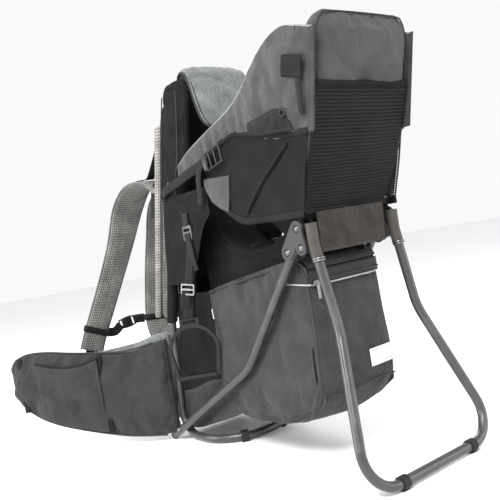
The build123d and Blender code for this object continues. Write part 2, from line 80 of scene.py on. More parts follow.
class CarrierColours(bpy.types.PropertyGroup):
    """Colours of the carrier's cloths, webbing and hardware"""

    charcoal: colour_property("Charcoal", "Nylon of the bag and hip belt", (0.029, 0.029, 0.03))
    slate: colour_property("Slate", "Nylon of the side wings and headrest", (0.04, 0.041, 0.0425))
    black: colour_property("Black", "Lining and column cloth", (0.0075, 0.0075, 0.0082))
    heather: colour_property("Heather", "Brushed knit of the drool and lumbar pads", (0.155, 0.165, 0.158))
    spacer: colour_property("Spacer mesh", "Air mesh of the shoulder straps", (0.2, 0.198, 0.19))
    brown: colour_property("Brown", "Cloth panel below the rear net", (0.024, 0.02, 0.017))
    webbing: colour_property("Webbing", "Woven straps", (0.008, 0.008, 0.0085))
    tube: colour_property("Tube", "Powder coat of the frame tubes", (0.075, 0.075, 0.077))
    elbow: colour_property("Elbow", "Moulded elbow sockets", (0.046, 0.041, 0.036))


class CarrierSizes(bpy.types.PropertyGroup):
    """Sizes of the sewn details"""

    piping: length_property("Piping", "Radius of the piping sewn into seams", 0.0022)
    webbing: length_property("Webbing", "Thickness of the woven straps", 0.0018)
    pitch: length_property("Thread pitch", "Distance between threads of the nylon", 0.0011)
    net: length_property("Net pitch", "Distance between holes of the nets", 0.0048)
    crease: length_property("Crease depth", "Depth of the loose creases in cloth", 0.0046)


def colours():
    """The colours set in the panel."""
    return bpy.context.scene.carrier_colours


def sizes():
    """The sizes set in the panel."""
    return bpy.context.scene.carrier_sizes


# ======================= Points and curves =======================
def at(x, y, z):
    """A drawing position in millimetres, as a point in the frame."""
    return Vector((x / 1000, y / 1000 - MIDDLE_Y, z / 1000))


def through(points, count):
    """Points spread along a smooth curve through the given ones."""
    spans = len(points) - 1
    if spans == 1:
        return [points[0].lerp(points[1], k / (count - 1)) for k in range(count)]
    found = []
    for k in range(count):
        place = k / (count - 1) * spans
        i = min(int(place), spans - 1)
        f = place - i
        a, b, c, d = points[max(i - 1, 0)], points[i], points[i + 1], points[min(i + 2, spans)]
        bend = b * 2 + (c - a) * f + (a * 2 - b * 5 + c * 4 - d) * f**2 + (b * 3 - a - c * 3 + d) * f**3
        found.append(bend * 0.5)
    return found


def only(obj):
    """Make one object the selected and active one."""
    bpy.ops.object.select_all(action="DESELECT")
    obj.select_set(True)
    bpy.context.view_layer.objects.active = obj


def apply_modifier(obj, kind, **settings):
    """Add a modifier with these settings and apply it."""
    only(obj)
    modifier = obj.modifiers.new(kind.title(), kind)
    for key, value in settings.items():
        setattr(modifier, key, value)
    bpy.ops.object.modifier_apply(modifier=modifier.name)


def settle(obj):
    """Put an object's place, turn and size into its mesh."""
    only(obj)
    bpy.ops.object.transform_apply(location=True, rotation=True, scale=True)


def finish_piece(obj, material, body=MAIN, replaces=()):
    """Give a piece its material and body, and hide the parts it replaces."""
    obj.data.materials.clear()
    obj.data.materials.append(material)
    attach(obj, body)
    if replaces:
        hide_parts(*replaces)
    return obj


def quilt(name, rows, counts, half, rim=0.01, crown=0.0, channels=0, ease=0.0, seed=0.0, grain=22.0):
    """A padded or plain sheet through a grid of points, drawn together at its rim.

    half is half its thickness, crown the extra swell at its middle, channels the sewn lines along it,
    ease the depth of loose creases and grain how many creases there are to the metre.
    """
    along, across = counts
    wide = [through(row, across) for row in rows]
    columns = [through([row[j] for row in wide], along) for j in range(across)]
    grid = [[columns[j][i] for j in range(across)] for i in range(along)]
    run = [[0.0] * across for _ in range(along)]
    side = [[0.0] * across for _ in range(along)]
    for i in range(along):
        for j in range(across):
            if i:
                run[i][j] = run[i - 1][j] + (grid[i][j] - grid[i - 1][j]).length
            if j:
                side[i][j] = side[i][j - 1] + (grid[i][j] - grid[i][j - 1]).length
    points, edge_distance, spots, index = [], [], [], {}
    for face in (1, -1):
        for i in range(along):
            for j in range(across):
                on_rim = i in (0, along - 1) or j in (0, across - 1)
                if on_rim and face < 0:
                    index[face, i, j] = index[1, i, j]
                    continue
                step_i = grid[min(i + 1, along - 1)][j] - grid[max(i - 1, 0)][j]
                step_j = grid[i][min(j + 1, across - 1)] - grid[i][max(j - 1, 0)]
                normal = step_i.cross(step_j)
                normal = normal.normalized() if normal.length > 1e-12 else Vector((0, 0, 1))
                reach = min(
                    run[i][j], run[along - 1][j] - run[i][j], side[i][j], side[i][across - 1] - side[i][j]
                )
                share = min(reach / rim, 1.0)
                thick = half * math.sqrt(max(0.0, 1 - (1 - share) ** 2))
                u, v = i / (along - 1), j / (across - 1)
                thick += crown * math.sin(math.pi * u) ** 0.7 * math.sin(math.pi * v) ** 0.7
                if channels:
                    thick *= 1 - 0.45 * (1 - abs(math.sin(math.pi * v * channels))) ** 6
                place = grid[i][j]
                if ease:
                    at_noise = place * grain + Vector((seed, seed * 1.7, -seed))
                    fold = noise.noise(at_noise) + 0.5 * noise.noise(at_noise * 2.3)
                    ridge = 0.55 - abs(noise.noise(at_noise * 1.4 + Vector((9.1, 3.3, seed))))
                    place = place + normal * ease * (fold + 0.7 * ridge) * min(1.0, reach / 0.02)
                index[face, i, j] = len(points)
                points.append(place + normal * thick * face if not on_rim else place)
                edge_distance.append(reach)
                spots.append((side[i][j], run[i][j]))
    faces = []
    for i in range(along - 1):
        for j in range(across - 1):
            ring = [(i, j), (i + 1, j), (i + 1, j + 1), (i, j + 1)]
            faces.append([index[1, a, b] for a, b in ring])
            faces.append([index[-1, a, b] for a, b in reversed(ring)])
    mesh = bpy.data.meshes.new(name)
    mesh.from_pydata([tuple(p) for p in points], [], faces)
    mesh.uv_layers.new(name="UVMap")
    for loop in mesh.loops:
        mesh.uv_layers[0].data[loop.index].uv = spots[loop.vertex_index]
    mesh.attributes.new("hem", "FLOAT", "POINT").data.foreach_set("value", edge_distance)
    mesh.shade_smooth()
    obj = bpy.data.objects.new(name, mesh)
    bpy.context.scene.collection.objects.link(obj)
    return obj


def swell(obj, pressure, slack, cap):
    """Blow a sewn piece up a little as cloth, with its rim held, so that it fills and puckers."""
    rest = [v.co.copy() for v in obj.data.vertices]
    hem = obj.data.attributes["hem"].data
    held = [i for i in range(len(rest)) if hem[i].value < HELD_RIM]
    obj.vertex_groups.new(name="rim").add(held, 1.0, "REPLACE")
    only(obj)
    cloth = obj.modifiers.new("Cloth", "CLOTH")
    cloth.settings.quality = 4
    cloth.settings.mass = 0.25
    cloth.settings.use_pressure = True
    cloth.settings.uniform_pressure_force = pressure
    cloth.settings.shrink_min = -slack
    cloth.settings.bending_stiffness = 0.4
    cloth.settings.vertex_group_mass = "rim"
    cloth.settings.effector_weights.gravity = 0.0
    cloth.collision_settings.use_collision = False
    cloth.point_cache.frame_end = SWELL_FRAMES
    for step in range(1, SWELL_FRAMES + 1):
        bpy.context.scene.frame_set(step)
    bpy.ops.object.modifier_apply(modifier=cloth.name)
    bpy.context.scene.frame_set(1)
    for vertex, start in zip(obj.data.vertices, rest):
        move = vertex.co - start
        if move.length > cap:
            vertex.co = start + move.normalized() * cap
    obj.vertex_groups.clear()
    return obj


def refine(obj):
    """One more subdivision for a rounder cloth."""
    apply_modifier(obj, "SUBSURF", levels=1, render_levels=1)
    obj.data.shade_smooth()
    return obj


def cloth_sheet(obj):
    """Return a plain sheet, cut to the smooth surface it was laid on, unchanged.
    """
    return obj


def ribbon(name, points, across, width, counts=(40, 7), half=None, twist=None):
    """Flat webbing along a smooth line; twist is the way across at its end, if that differs."""
    line = through(points, max(len(points), 14))
    rows = []
    for k, point in enumerate(line):
        run = (line[min(k + 1, len(line) - 1)] - line[max(k - 1, 0)]).normalized()
        share = k / (len(line) - 1)
        flat = Vector(across) if twist is None else Vector(across).lerp(Vector(twist), share)
        flat = (flat - run * flat.dot(run)).normalized()
        rows.append([point - flat * width / 2, point, point + flat * width / 2])
    half = half or sizes().webbing / 2
    return quilt(name, rows, counts, half, rim=half * 1.2)


def tube(name, points, radius):
    """Piping or a bead along a smooth line through the given points."""
    curve = bpy.data.curves.new(name, "CURVE")
    curve.dimensions = "3D"
    curve.bevel_depth = radius
    curve.bevel_resolution = 3
    curve.resolution_u = 4
    curve.use_fill_caps = True
    spline = curve.splines.new("NURBS")
    spline.points.add(len(points) - 1)
    for spot, point in zip(spline.points, points):
        spot.co = (*point, 1)
    spline.order_u = 3
    spline.use_endpoint_u = True
    obj = bpy.data.objects.new(name, curve)
    bpy.context.scene.collection.objects.link(obj)
    only(obj)
    bpy.ops.object.convert(target="MESH")
    obj.data.shade_smooth()
    return obj


def block(name, centre, size, bevel=0.002, axes=None):
    """A moulded block with rounded edges; axes are its own X, Y and Z, where it isn't square to the frame."""
    bpy.ops.object.select_all(action="DESELECT")
    bpy.ops.mesh.primitive_cube_add(size=1, location=(0, 0, 0))
    obj = bpy.context.object
    obj.name = name
    obj.data.name = name
    obj.scale = size
    settle(obj)
    apply_modifier(obj, "BEVEL", width=bevel, segments=3, limit_method="ANGLE")
    place = Matrix.Translation(centre)
    if axes:
        place = place @ Matrix([Vector(a) for a in axes]).transposed().to_4x4()
    obj.matrix_world = place
    settle(obj)
    obj.data.shade_smooth()
    return obj


def join(name, pieces):
    """Join several meshes into one piece."""
    bpy.ops.object.select_all(action="DESELECT")
    for piece in pieces:
        piece.select_set(True)
    bpy.context.view_layer.objects.active = pieces[0]
    bpy.ops.object.join()
    pieces[0].name = name
    pieces[0].data.name = name
    return pieces[0]


# ======================= Finishes =======================
def group(name, inputs, outputs):
    """A new shader group with named sockets; returns the tree and its two end nodes."""
    tree = bpy.data.node_groups.new(name, "ShaderNodeTree")
    for label, kind, value in inputs:
        socket = tree.interface.new_socket(name=label, in_out="INPUT", socket_type=f"NodeSocket{kind}")
        if value is not None:
            socket.default_value = value
    for label, kind in outputs:
        tree.interface.new_socket(name=label, in_out="OUTPUT", socket_type=f"NodeSocket{kind}")
    return tree, tree.nodes.new("NodeGroupInput"), tree.nodes.new("NodeGroupOutput")


def maths(tree, operation, a, b=None, c=None):
    """A math node; numbers are set and sockets are linked."""
    node = tree.nodes.new("ShaderNodeMath")
    node.operation = operation
    for k, value in enumerate((a, b, c)):
        if value is None:
            continue
        if isinstance(value, (int, float)):
            node.inputs[k].default_value = value
        else:
            tree.links.new(value, node.inputs[k])
    return node.outputs[0]


def stretch(tree, value, low, high, to_low=0.0, to_high=1.0):
    """Map one range of values smoothly to another."""
    node = tree.nodes.new("ShaderNodeMapRange")
    node.interpolation_type = "SMOOTHSTEP"
    tree.links.new(value, node.inputs["Value"])
    for label, number in (("From Min", low), ("From Max", high), ("To Min", to_low), ("To Max", to_high)):
        if isinstance(number, (int, float)):
            node.inputs[label].default_value = number
        else:
            tree.links.new(number, node.inputs[label])
    return node.outputs["Result"]


def split(tree, vector):
    """The parts of a vector."""
    node = tree.nodes.new("ShaderNodeSeparateXYZ")
    tree.links.new(vector, node.inputs[0])
    return node.outputs


def fine_noise(tree, vector, scale, detail=2.0, rough=0.5, distortion=0.0):
    """The value of a noise texture."""
    node = tree.nodes.new("ShaderNodeTexNoise")
    tree.links.new(vector, node.inputs["Vector"])
    node.inputs["Scale"].default_value = scale
    node.inputs["Detail"].default_value = detail
    node.inputs["Roughness"].default_value = rough
    node.inputs["Distortion"].default_value = distortion
    return node.outputs["Fac"]


def plain_weave_group():
    """Over-and-under threads: height and shade."""
    tree, start, end = group(
        "Plain weave", [("Vector", "Vector", None), ("Pitch", "Float", 0.001)], [("Height", "Float")]
    )
    x, y, _ = split(tree, start.outputs["Vector"])
    turn = maths(tree, "DIVIDE", math.pi, start.outputs["Pitch"])
    sx = maths(tree, "SINE", maths(tree, "MULTIPLY", x, turn))
    sy = maths(tree, "SINE", maths(tree, "MULTIPLY", y, turn))
    over = maths(tree, "GREATER_THAN", maths(tree, "MULTIPLY", sx, sy), 0.0)
    warp = maths(tree, "MULTIPLY", maths(tree, "ABSOLUTE", sx), over)
    weft = maths(tree, "MULTIPLY", maths(tree, "ABSOLUTE", sy), maths(tree, "SUBTRACT", 1.0, over))
    tree.links.new(maths(tree, "ADD", warp, weft), end.inputs["Height"])
    return tree


def net_group():
    """Staggered holes of a net: cover is 1 on thread and 0 in a hole."""
    tree, start, end = group(
        "Open net",
        [("Vector", "Vector", None), ("Pitch", "Float", 0.004), ("Open", "Float", 0.45)],
        [("Cover", "Float"), ("Height", "Float")],
    )
    x, y, _ = split(tree, start.outputs["Vector"])
    turn = maths(tree, "DIVIDE", math.pi, start.outputs["Pitch"])
    cx = maths(tree, "COSINE", maths(tree, "MULTIPLY", x, turn))
    cy = maths(tree, "COSINE", maths(tree, "MULTIPLY", maths(tree, "MULTIPLY", y, turn), 0.72))
    bump = maths(tree, "ABSOLUTE", maths(tree, "MULTIPLY", cx, cy))
    edge = maths(tree, "ADD", start.outputs["Open"], 0.12)
    hole = stretch(tree, bump, start.outputs["Open"], edge)
    tree.links.new(maths(tree, "SUBTRACT", 1.0, hole), end.inputs["Cover"])
    tree.links.new(maths(tree, "SUBTRACT", 1.0, bump), end.inputs["Height"])
    return tree


def rib_group():
    """Lengthwise ribs of webbing with a fine cross thread."""
    tree, start, end = group(
        "Webbing ribs", [("Vector", "Vector", None), ("Pitch", "Float", 0.0016)], [("Height", "Float")]
    )
    x, y, _ = split(tree, start.outputs["Vector"])
    turn = maths(tree, "DIVIDE", math.pi, start.outputs["Pitch"])
    rib = maths(tree, "ABSOLUTE", maths(tree, "SINE", maths(tree, "MULTIPLY", x, turn)))
    slant = maths(tree, "ADD", maths(tree, "MULTIPLY", y, turn), maths(tree, "MULTIPLY", x, turn))
    cross = maths(tree, "ABSOLUTE", maths(tree, "SINE", slant))
    tree.links.new(maths(tree, "MULTIPLY_ADD", cross, 0.35, rib), end.inputs["Height"])
    return tree


def stitch_group():
    """A line of stitches a set distance inside a hem."""
    tree, start, end = group(
        "Stitch line",
        [("Vector", "Vector", None), ("Hem", "Float", 0.0), ("Inset", "Float", 0.006), ("Length", "Float", 0.0035)],
        [("Mask", "Float"), ("Furrow", "Float")],
    )
    x, y, _ = split(tree, start.outputs["Vector"])
    off = maths(tree, "ABSOLUTE", maths(tree, "SUBTRACT", start.outputs["Hem"], start.outputs["Inset"]))
    line = stretch(tree, off, 0.0004, 0.0009, 1.0, 0.0)
    furrow = stretch(tree, off, 0.0, 0.003, 1.0, 0.0)
    turn = maths(tree, "DIVIDE", math.pi, start.outputs["Length"])
    beat = maths(tree, "SINE", maths(tree, "MULTIPLY", maths(tree, "ADD", x, y), turn))
    dash = stretch(tree, beat, -0.55, -0.35)
    tree.links.new(maths(tree, "MULTIPLY", line, dash), end.inputs["Mask"])
    tree.links.new(furrow, end.inputs["Furrow"])
    return tree


def crease_group():
    """Soft creases and rubbed, paler places in cloth."""
    tree, start, end = group(
        "Cloth creases",
        [("Vector", "Vector", None)],
        [("Height", "Float"), ("Fade", "Float")],
    )
    broad = fine_noise(tree, start.outputs["Vector"], 17.0, 3.0, 0.55, 0.7)
    fine = fine_noise(tree, start.outputs["Vector"], 46.0, 2.0, 0.5, 1.2)
    ridge = maths(tree, "ABSOLUTE", maths(tree, "SUBTRACT", broad, 0.5))
    small = maths(tree, "ABSOLUTE", maths(tree, "SUBTRACT", fine, 0.5))
    tree.links.new(maths(tree, "MULTIPLY_ADD", small, 0.35, ridge), end.inputs["Height"])
    tree.links.new(stretch(tree, broad, 0.3, 0.7), end.inputs["Fade"])
    return tree


def grain_group():
    """Moulded grain, light scratches and dust for hard parts."""
    tree, start, end = group(
        "Grain and rub",
        [("Vector", "Vector", None), ("Grain", "Float", 900.0)],
        [("Height", "Float"), ("Rub", "Float"), ("Dust", "Float")],
    )
    node = tree.nodes.new("ShaderNodeTexNoise")
    tree.links.new(start.outputs["Vector"], node.inputs["Vector"])
    tree.links.new(start.outputs["Grain"], node.inputs["Scale"])
    node.inputs["Detail"].default_value = 2.0
    tree.links.new(node.outputs["Fac"], end.inputs["Height"])
    scrape = fine_noise(tree, start.outputs["Vector"], 140.0, 4.0, 0.7, 2.0)
    tree.links.new(stretch(tree, scrape, 0.62, 0.72), end.inputs["Rub"])
    tree.links.new(stretch(tree, fine_noise(tree, start.outputs["Vector"], 24.0), 0.4, 0.75), end.inputs["Dust"])
    return tree


def heather_group():
    """Flecks of a brushed two-tone knit."""
    tree, start, end = group(
        "Heather flecks", [("Vector", "Vector", None)], [("Fleck", "Float"), ("Height", "Float")]
    )
    mapping = tree.nodes.new("ShaderNodeMapping")
    mapping.inputs["Scale"].default_value = (1.0, 0.45, 1.0)
    tree.links.new(start.outputs["Vector"], mapping.inputs["Vector"])
    coarse = fine_noise(tree, mapping.outputs["Vector"], 420.0, 3.0, 0.65)
    fine = fine_noise(tree, start.outputs["Vector"], 1500.0, 2.0, 0.6)
    both = maths(tree, "MULTIPLY_ADD", fine, 0.5, maths(tree, "MULTIPLY", coarse, 0.5))
    tree.links.new(stretch(tree, both, 0.4, 0.62), end.inputs["Fleck"])
    tree.links.new(fine, end.inputs["Height"])
    return tree


GROUPS = {}
FINISHES = {}


def build_groups():
    """Make every shared effect once."""
    for name, maker in (
        ("weave", plain_weave_group),
        ("net", net_group),
        ("rib", rib_group),
        ("stitch", stitch_group),
        ("crease", crease_group),
        ("grain", grain_group),
        ("heather", heather_group),
    ):
        GROUPS[name] = maker()


def placed(tree, name, vector, **values):
    """Place a shared effect in a material."""
    node = tree.nodes.new("ShaderNodeGroup")
    node.node_tree = GROUPS[name]
    tree.links.new(vector, node.inputs["Vector"])
    for label, value in values.items():
        if isinstance(value, (int, float)):
            node.inputs[label].default_value = value
        else:
            tree.links.new(value, node.inputs[label])
    return node.outputs


def blended(tree, share, low, high):
    """A colour between two, by a share from 0 to 1."""
    node = tree.nodes.new("ShaderNodeMix")
    node.data_type = "RGBA"
    tree.links.new(share, node.inputs["Factor"])
    for label, colour in (("A", low), ("B", high)):
        socket = [s for s in node.inputs if s.name == label and s.type == "RGBA"][0]
        if hasattr(colour, "links"):
            tree.links.new(colour, socket)
        else:
            socket.default_value = (*colour, 1)
    return [s for s in node.outputs if s.type == "RGBA"][0]


def bumped(tree, height, distance, strength=1.0, normal=None):
    """A bump node."""
    node = tree.nodes.new("ShaderNodeBump")
    node.inputs["Distance"].default_value = distance
    node.inputs["Strength"].default_value = strength
    tree.links.new(height, node.inputs["Height"])
    if normal is not None:
        tree.links.new(normal, node.inputs["Normal"])
    return node.outputs["Normal"]


def blank_material(name):
    """A new material: its tree, shader and the two coordinate sockets."""
    material = bpy.data.materials.new(name)
    material.use_nodes = True
    tree = material.node_tree
    shader = tree.nodes["Principled BSDF"]
    spots = tree.nodes.new("ShaderNodeTexCoord")
    return material, tree, shader, spots.outputs["UV"], spots.outputs["Object"]


def shade(colour, factor):
    """A colour made lighter or darker."""
    return tuple(min(1.0, c * factor) for c in colour)


def cloth_material(name, colour, effect="weave", pitch=0.0011, relief=0.0003, crease=0.0055, roughness=0.8,
                   sheen=0.08, stitch=True, thread=1.9, valley_shade=0.75, gloss=0.2):
    """A cloth: threads with painted shade in their low parts, creases, stitching inside the hem and paler rubbed
    places.
    """
    material, tree, shader, uv, spot = blank_material(name)
    fold = placed(tree, "crease", spot)
    if effect == "heather":
        fleck = placed(tree, "heather", spot)
        body = blended(tree, fleck["Fleck"], shade(colour, 0.55), shade(colour, 1.35))
        height = fleck["Height"]
    else:
        woven = placed(tree, effect, uv, Pitch=pitch)
        # painted shade: the colour is darker in the low parts of the weave, in the rib grooves and in the mesh holes
        body = blended(tree, woven["Height"], shade(colour, valley_shade), shade(colour, 1.12))
        height = woven["Height"]
    worn = blended(tree, fold["Fade"], (0.74, 0.74, 0.74), (1.2, 1.2, 1.2))
    tint = tree.nodes.new("ShaderNodeMix")
    tint.data_type = "RGBA"
    tint.blend_type = "MULTIPLY"
    tint.inputs["Factor"].default_value = 1.0
    rgba = [s for s in tint.inputs if s.type == "RGBA"]
    tree.links.new(body, rgba[0])
    tree.links.new(worn, rgba[1])
    result = [s for s in tint.outputs if s.type == "RGBA"][0]
    normal = bumped(tree, fold["Height"], crease)
    normal = bumped(tree, height, relief, 0.8, normal)
    if stitch:
        hem = tree.nodes.new("ShaderNodeAttribute")
        hem.attribute_name = "hem"
        sewn = placed(tree, "stitch", uv, Hem=hem.outputs["Fac"])
        result = blended(tree, sewn["Mask"], result, shade(colour, thread))
        normal = bumped(tree, maths(tree, "SUBTRACT", 1.0, sewn["Furrow"]), 0.0007, 1.0, normal)
    tree.links.new(result, shader.inputs["Base Color"])
    tree.links.new(normal, shader.inputs["Normal"])
    tree.links.new(stretch(tree, height, 0.0, 1.0, roughness - 0.08, roughness + 0.08), shader.inputs["Roughness"])
    shader.inputs["Sheen Weight"].default_value = sheen
    shader.inputs["Sheen Roughness"].default_value = 0.5
    shader.inputs["Specular IOR Level"].default_value = gloss
    return material


def net_material(name, colour, pitch, opening):
    """An open net: holes let through what is behind."""
    material, tree, shader, uv, spot = blank_material(name)
    net = placed(tree, "net", uv, Pitch=pitch, Open=opening)
    fold = placed(tree, "crease", spot)
    tree.links.new(blended(tree, fold["Fade"], shade(colour, 0.8), shade(colour, 1.4)), shader.inputs["Base Color"])
    tree.links.new(net["Cover"], shader.inputs["Alpha"])
    normal = bumped(tree, net["Height"], NET_RELIEF)
    tree.links.new(normal, shader.inputs["Normal"])
    tree.links.new(stretch(tree, net["Height"], 0.0, 1.0, 0.55, 0.75), shader.inputs["Roughness"])
    shader.inputs["Specular IOR Level"].default_value = 0.2
    return material


def hard_material(name, colour, grain=900.0, relief=0.00012, roughness=0.45, metallic=0.0, rub=1.8, coat=0.0):
    """A moulded, coated or metal part with fine grain and rubbed places."""
    material, tree, shader, _, spot = blank_material(name)
    skin = placed(tree, "grain", spot, Grain=grain)
    body = blended(tree, skin["Dust"], shade(colour, 0.85), shade(colour, 1.12))
    tree.links.new(blended(tree, skin["Rub"], body, shade(colour, rub)), shader.inputs["Base Color"])
    tree.links.new(bumped(tree, skin["Height"], relief), shader.inputs["Normal"])
    tree.links.new(
        stretch(tree, skin["Dust"], 0.0, 1.0, roughness - 0.06, roughness + 0.1), shader.inputs["Roughness"]
    )
    shader.inputs["Metallic"].default_value = metallic
    shader.inputs["Specular IOR Level"].default_value = 0.3
    shader.inputs["Coat Weight"].default_value = coat
    shader.inputs["Coat Roughness"].default_value = 0.3
    return material


def build_finishes():
    """Make every material once."""
    tint, size = colours(), sizes()
    charcoal, slate, black = tuple(tint.charcoal), tuple(tint.slate), tuple(tint.black)
    FINISHES.update(
        charcoal=cloth_material("Charcoal nylon", charcoal, pitch=size.pitch, thread=1.7),
        belt=cloth_material("Belt nylon", shade(charcoal, 0.82), pitch=size.pitch * 1.3, thread=1.7),
        slate=cloth_material("Slate nylon", slate, pitch=size.pitch, thread=1.5, sheen=0.14),
        black=cloth_material("Black lining", black, pitch=size.pitch, thread=2.5, sheen=0.0, gloss=0.14),
        soot=cloth_material("Soot nylon", shade(charcoal, 0.42), pitch=size.pitch, thread=2.2, sheen=0.03, gloss=0.15),
        brown=cloth_material("Brown cloth", tuple(tint.brown), pitch=size.pitch),
        heather=cloth_material("Heather knit", tuple(tint.heather), "heather", relief=0.0005, crease=0.001,
                               roughness=0.9, sheen=0.12, thread=0.5),
        spacer=cloth_material("Spacer mesh", tuple(tint.spacer), "net", 0.0054, 0.0014, 0.0008, 0.85, 0.08,
                              stitch=False, valley_shade=0.2),
        pale_mesh=cloth_material("Pale spacer mesh", (0.25, 0.24, 0.225), "net", 0.0054, 0.0014, 0.0008, 0.85, 0.08,
                                 stitch=False, valley_shade=0.3),
        webbing=cloth_material("Black webbing", tuple(tint.webbing), "rib", 0.0017, 0.0004, 0.0003, 0.72, 0.03,
                               stitch=False, valley_shade=0.5),
        hook=cloth_material("Hook patch", shade(black, 1.4), pitch=0.0024, relief=0.0009, crease=0.0002, sheen=0.0),
        binding=cloth_material("Binding tape", shade(black, 1.2), "rib", 0.0012, 0.0003, 0.0004, stitch=False,
                               sheen=0.0),
        piping=hard_material("Pale piping", (0.2, 0.205, 0.21), 1400.0, 0.0002, 0.5, rub=1.2),
        dark_piping=hard_material("Dark piping", shade(charcoal, 0.7), 1400.0, 0.0002, 0.6, rub=1.3),
        reflective=hard_material("Reflective piping", (0.3, 0.31, 0.32), 2200.0, 0.0001, 0.3, rub=1.1, metallic=0.2),
        label=cloth_material("Blank label", (0.52, 0.52, 0.51), pitch=0.0009, relief=0.0001, crease=0.0003,
                             roughness=0.6, sheen=0.1, thread=0.7, valley_shade=0.94),
        net=net_material("Black net", (0.006, 0.006, 0.0065), size.net, 0.58),
        zip=cloth_material("Zip chain", (0.02, 0.02, 0.021), "rib", 0.0022, 0.0009, 0.0002, 0.45, 0.1, stitch=False),
        tube=hard_material("Powder coat", tuple(tint.tube), 1700.0, 0.00006, 0.36, metallic=0.55, rub=1.3, coat=0.15),
        rod=hard_material("Black rod", (0.03, 0.03, 0.032), 1500.0, 0.00006, 0.4, metallic=0.3),
        dull=hard_material("Dull steel", (0.16, 0.16, 0.16), 500.0, 0.00005, 0.42, metallic=1.0, rub=0.7),
        steel=hard_material("Bright steel", (0.25, 0.25, 0.25), 500.0, 0.00005, 0.34, metallic=1.0, rub=0.7),
        moulded=hard_material("Moulded dark", (0.032, 0.032, 0.035), 1100.0, 0.0002, 0.42, rub=1.6),
        buckle=hard_material("Buckle black", (0.01, 0.01, 0.011), 1100.0, 0.00015, 0.36, rub=1.8),
        elbow=hard_material("Moulded elbow", tuple(tint.elbow), 1000.0, 0.0002, 0.45, rub=1.35),
        rubber=hard_material("Rubber", (0.012, 0.012, 0.012), 700.0, 0.0003, 0.68, rub=1.7),
    )


# ======================= The frame's own parts =======================
NODE_FINISH = {
    "tube": ("back_frame", "top_bow", "side_strut_left", "side_strut_right", "kick_tube", "hinge_crossbar"),
    "rod": ("headrest_frame",),
    "moulded": ("hinge_plate_left", "hinge_plate_right", "frame_sleeves"),
    "elbow": ("kick_socket_left", "kick_socket_right"),
    "steel": ("hinge_pins", "frame_rivets", "rod_ferrules"),
    "dull": ("stirrup_anchors", "tri_glide_left", "tri_glide_right", "zip_slider"),
    "rubber": ("base_feet", "kick_feet", "strut_caps"),
    "buckle": ("stirrup_left", "stirrup_right"),
}
LEAN = 0.342  # backward lean of the uprights
BOW = (-3.7, 868.0)  # centre line of the top bow, (Y, Z)
ROD_LEAN = -0.2538  # backward lean of the headrest rod


def upright_y(z):
    """Y of the leaning part of an upright."""
    return 194 - LEAN * (z - 290)


def rod_y(z):
    """Y of the headrest rod's plane."""
    if z < 641:
        return -360 - (z - 500) * 68 / 141
    return -428 + (z - 641) * ROD_LEAN


class CARRIER_OT_frame(bpy.types.Operator):
    """Finish the tubes, plates, rivets, sockets and rubber clips of the frame"""

    bl_idname = "carrier.frame"
    bl_label = "Frame finishes"

    def execute(self, context):
        for finish, names in NODE_FINISH.items():
            for name in names:
                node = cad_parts[name]
                node.data.materials.clear()
                node.data.materials.append(FINISHES[finish])
        for name, side in SIDES:
            caps = []
            for y, z, radius in ((-357, 478, 5.6), (-321, 436, 5.6), (-362, 441, 6.6)):
                for x, way in ((113 + 17.4, 1), (113 - 17.4, -1)):
                    if way < 0 and y == -357:
                        continue
                    caps.append(dome(at(side * x, y, z), radius / 1000, side * way))
            for x, way in ((141.4, 1), (99.6, -1)):
                caps.append(dome(at(side * x, 201, 30), 0.0056, side * way))
            finish_piece(join(f"rivet_domes_{name}", caps), FINISHES["dull"])
            rings = []
            knee = at(side * 112.5, -386, 418)
            for reach in (0.0, 0.0042):
                bpy.ops.object.select_all(action="DESELECT")
                bpy.ops.mesh.primitive_torus_add(
                    major_radius=0.0112, minor_radius=0.0016, major_segments=32, minor_segments=8,
                    location=knee + Vector((side * -0.014, -0.163, -0.987)) * reach,
                    rotation=(math.radians(-9.4), 0, 0),
                )
                ring = bpy.context.object
                settle(ring)
                rings.append(ring)
            ring = join(f"elbow_ring_{name}", rings)
            ring.data.shade_smooth()
            finish_piece(ring, FINISHES["steel"], "kickstand")
        return {"FINISHED"}


def dome(centre, radius, way):
    """A low rivet dome that faces along X."""
    bpy.ops.object.select_all(action="DESELECT")
    bpy.ops.mesh.primitive_uv_sphere_add(segments=20, ring_count=10, radius=radius, location=(0, 0, 0))
    obj = bpy.context.object
    bpy.ops.object.mode_set(mode="EDIT")
    bpy.ops.mesh.select_all(action="SELECT")
    bpy.ops.mesh.bisect(plane_co=(0, 0, 0), plane_no=(0, 0, 1), clear_inner=True, use_fill=True)
    bpy.ops.object.mode_set(mode="OBJECT")
    obj.scale = (1, 1, 0.42)
    settle(obj)
    obj.rotation_euler = (0, way * math.pi / 2, 0)
    obj.location = centre
    settle(obj)
    obj.data.shade_smooth()
    return obj


# ======================= Hip belt and back padding =======================
FLARE = math.radians(40)


def belt_point(side, reach, z, out=0.0):
    """A point on a hip wing: reach along its flare from the root, out towards its outer face."""
    x = 122 + reach * math.sin(FLARE) + out * math.cos(FLARE)
    y = 206 + reach * math.cos(FLARE) - out * math.sin(FLARE)
    return at(side * x, y, z)


BELT_LOW = ((6, 24), (45, 18), (123, 21), (204, 37), (272, 54), (342, 74), (398, 101), (432, 134), (450, 172))
BELT_HIGH = ((6, 262), (45, 256), (109, 241), (192, 249), (276, 259), (340, 270), (396, 273), (434, 262), (451, 238))


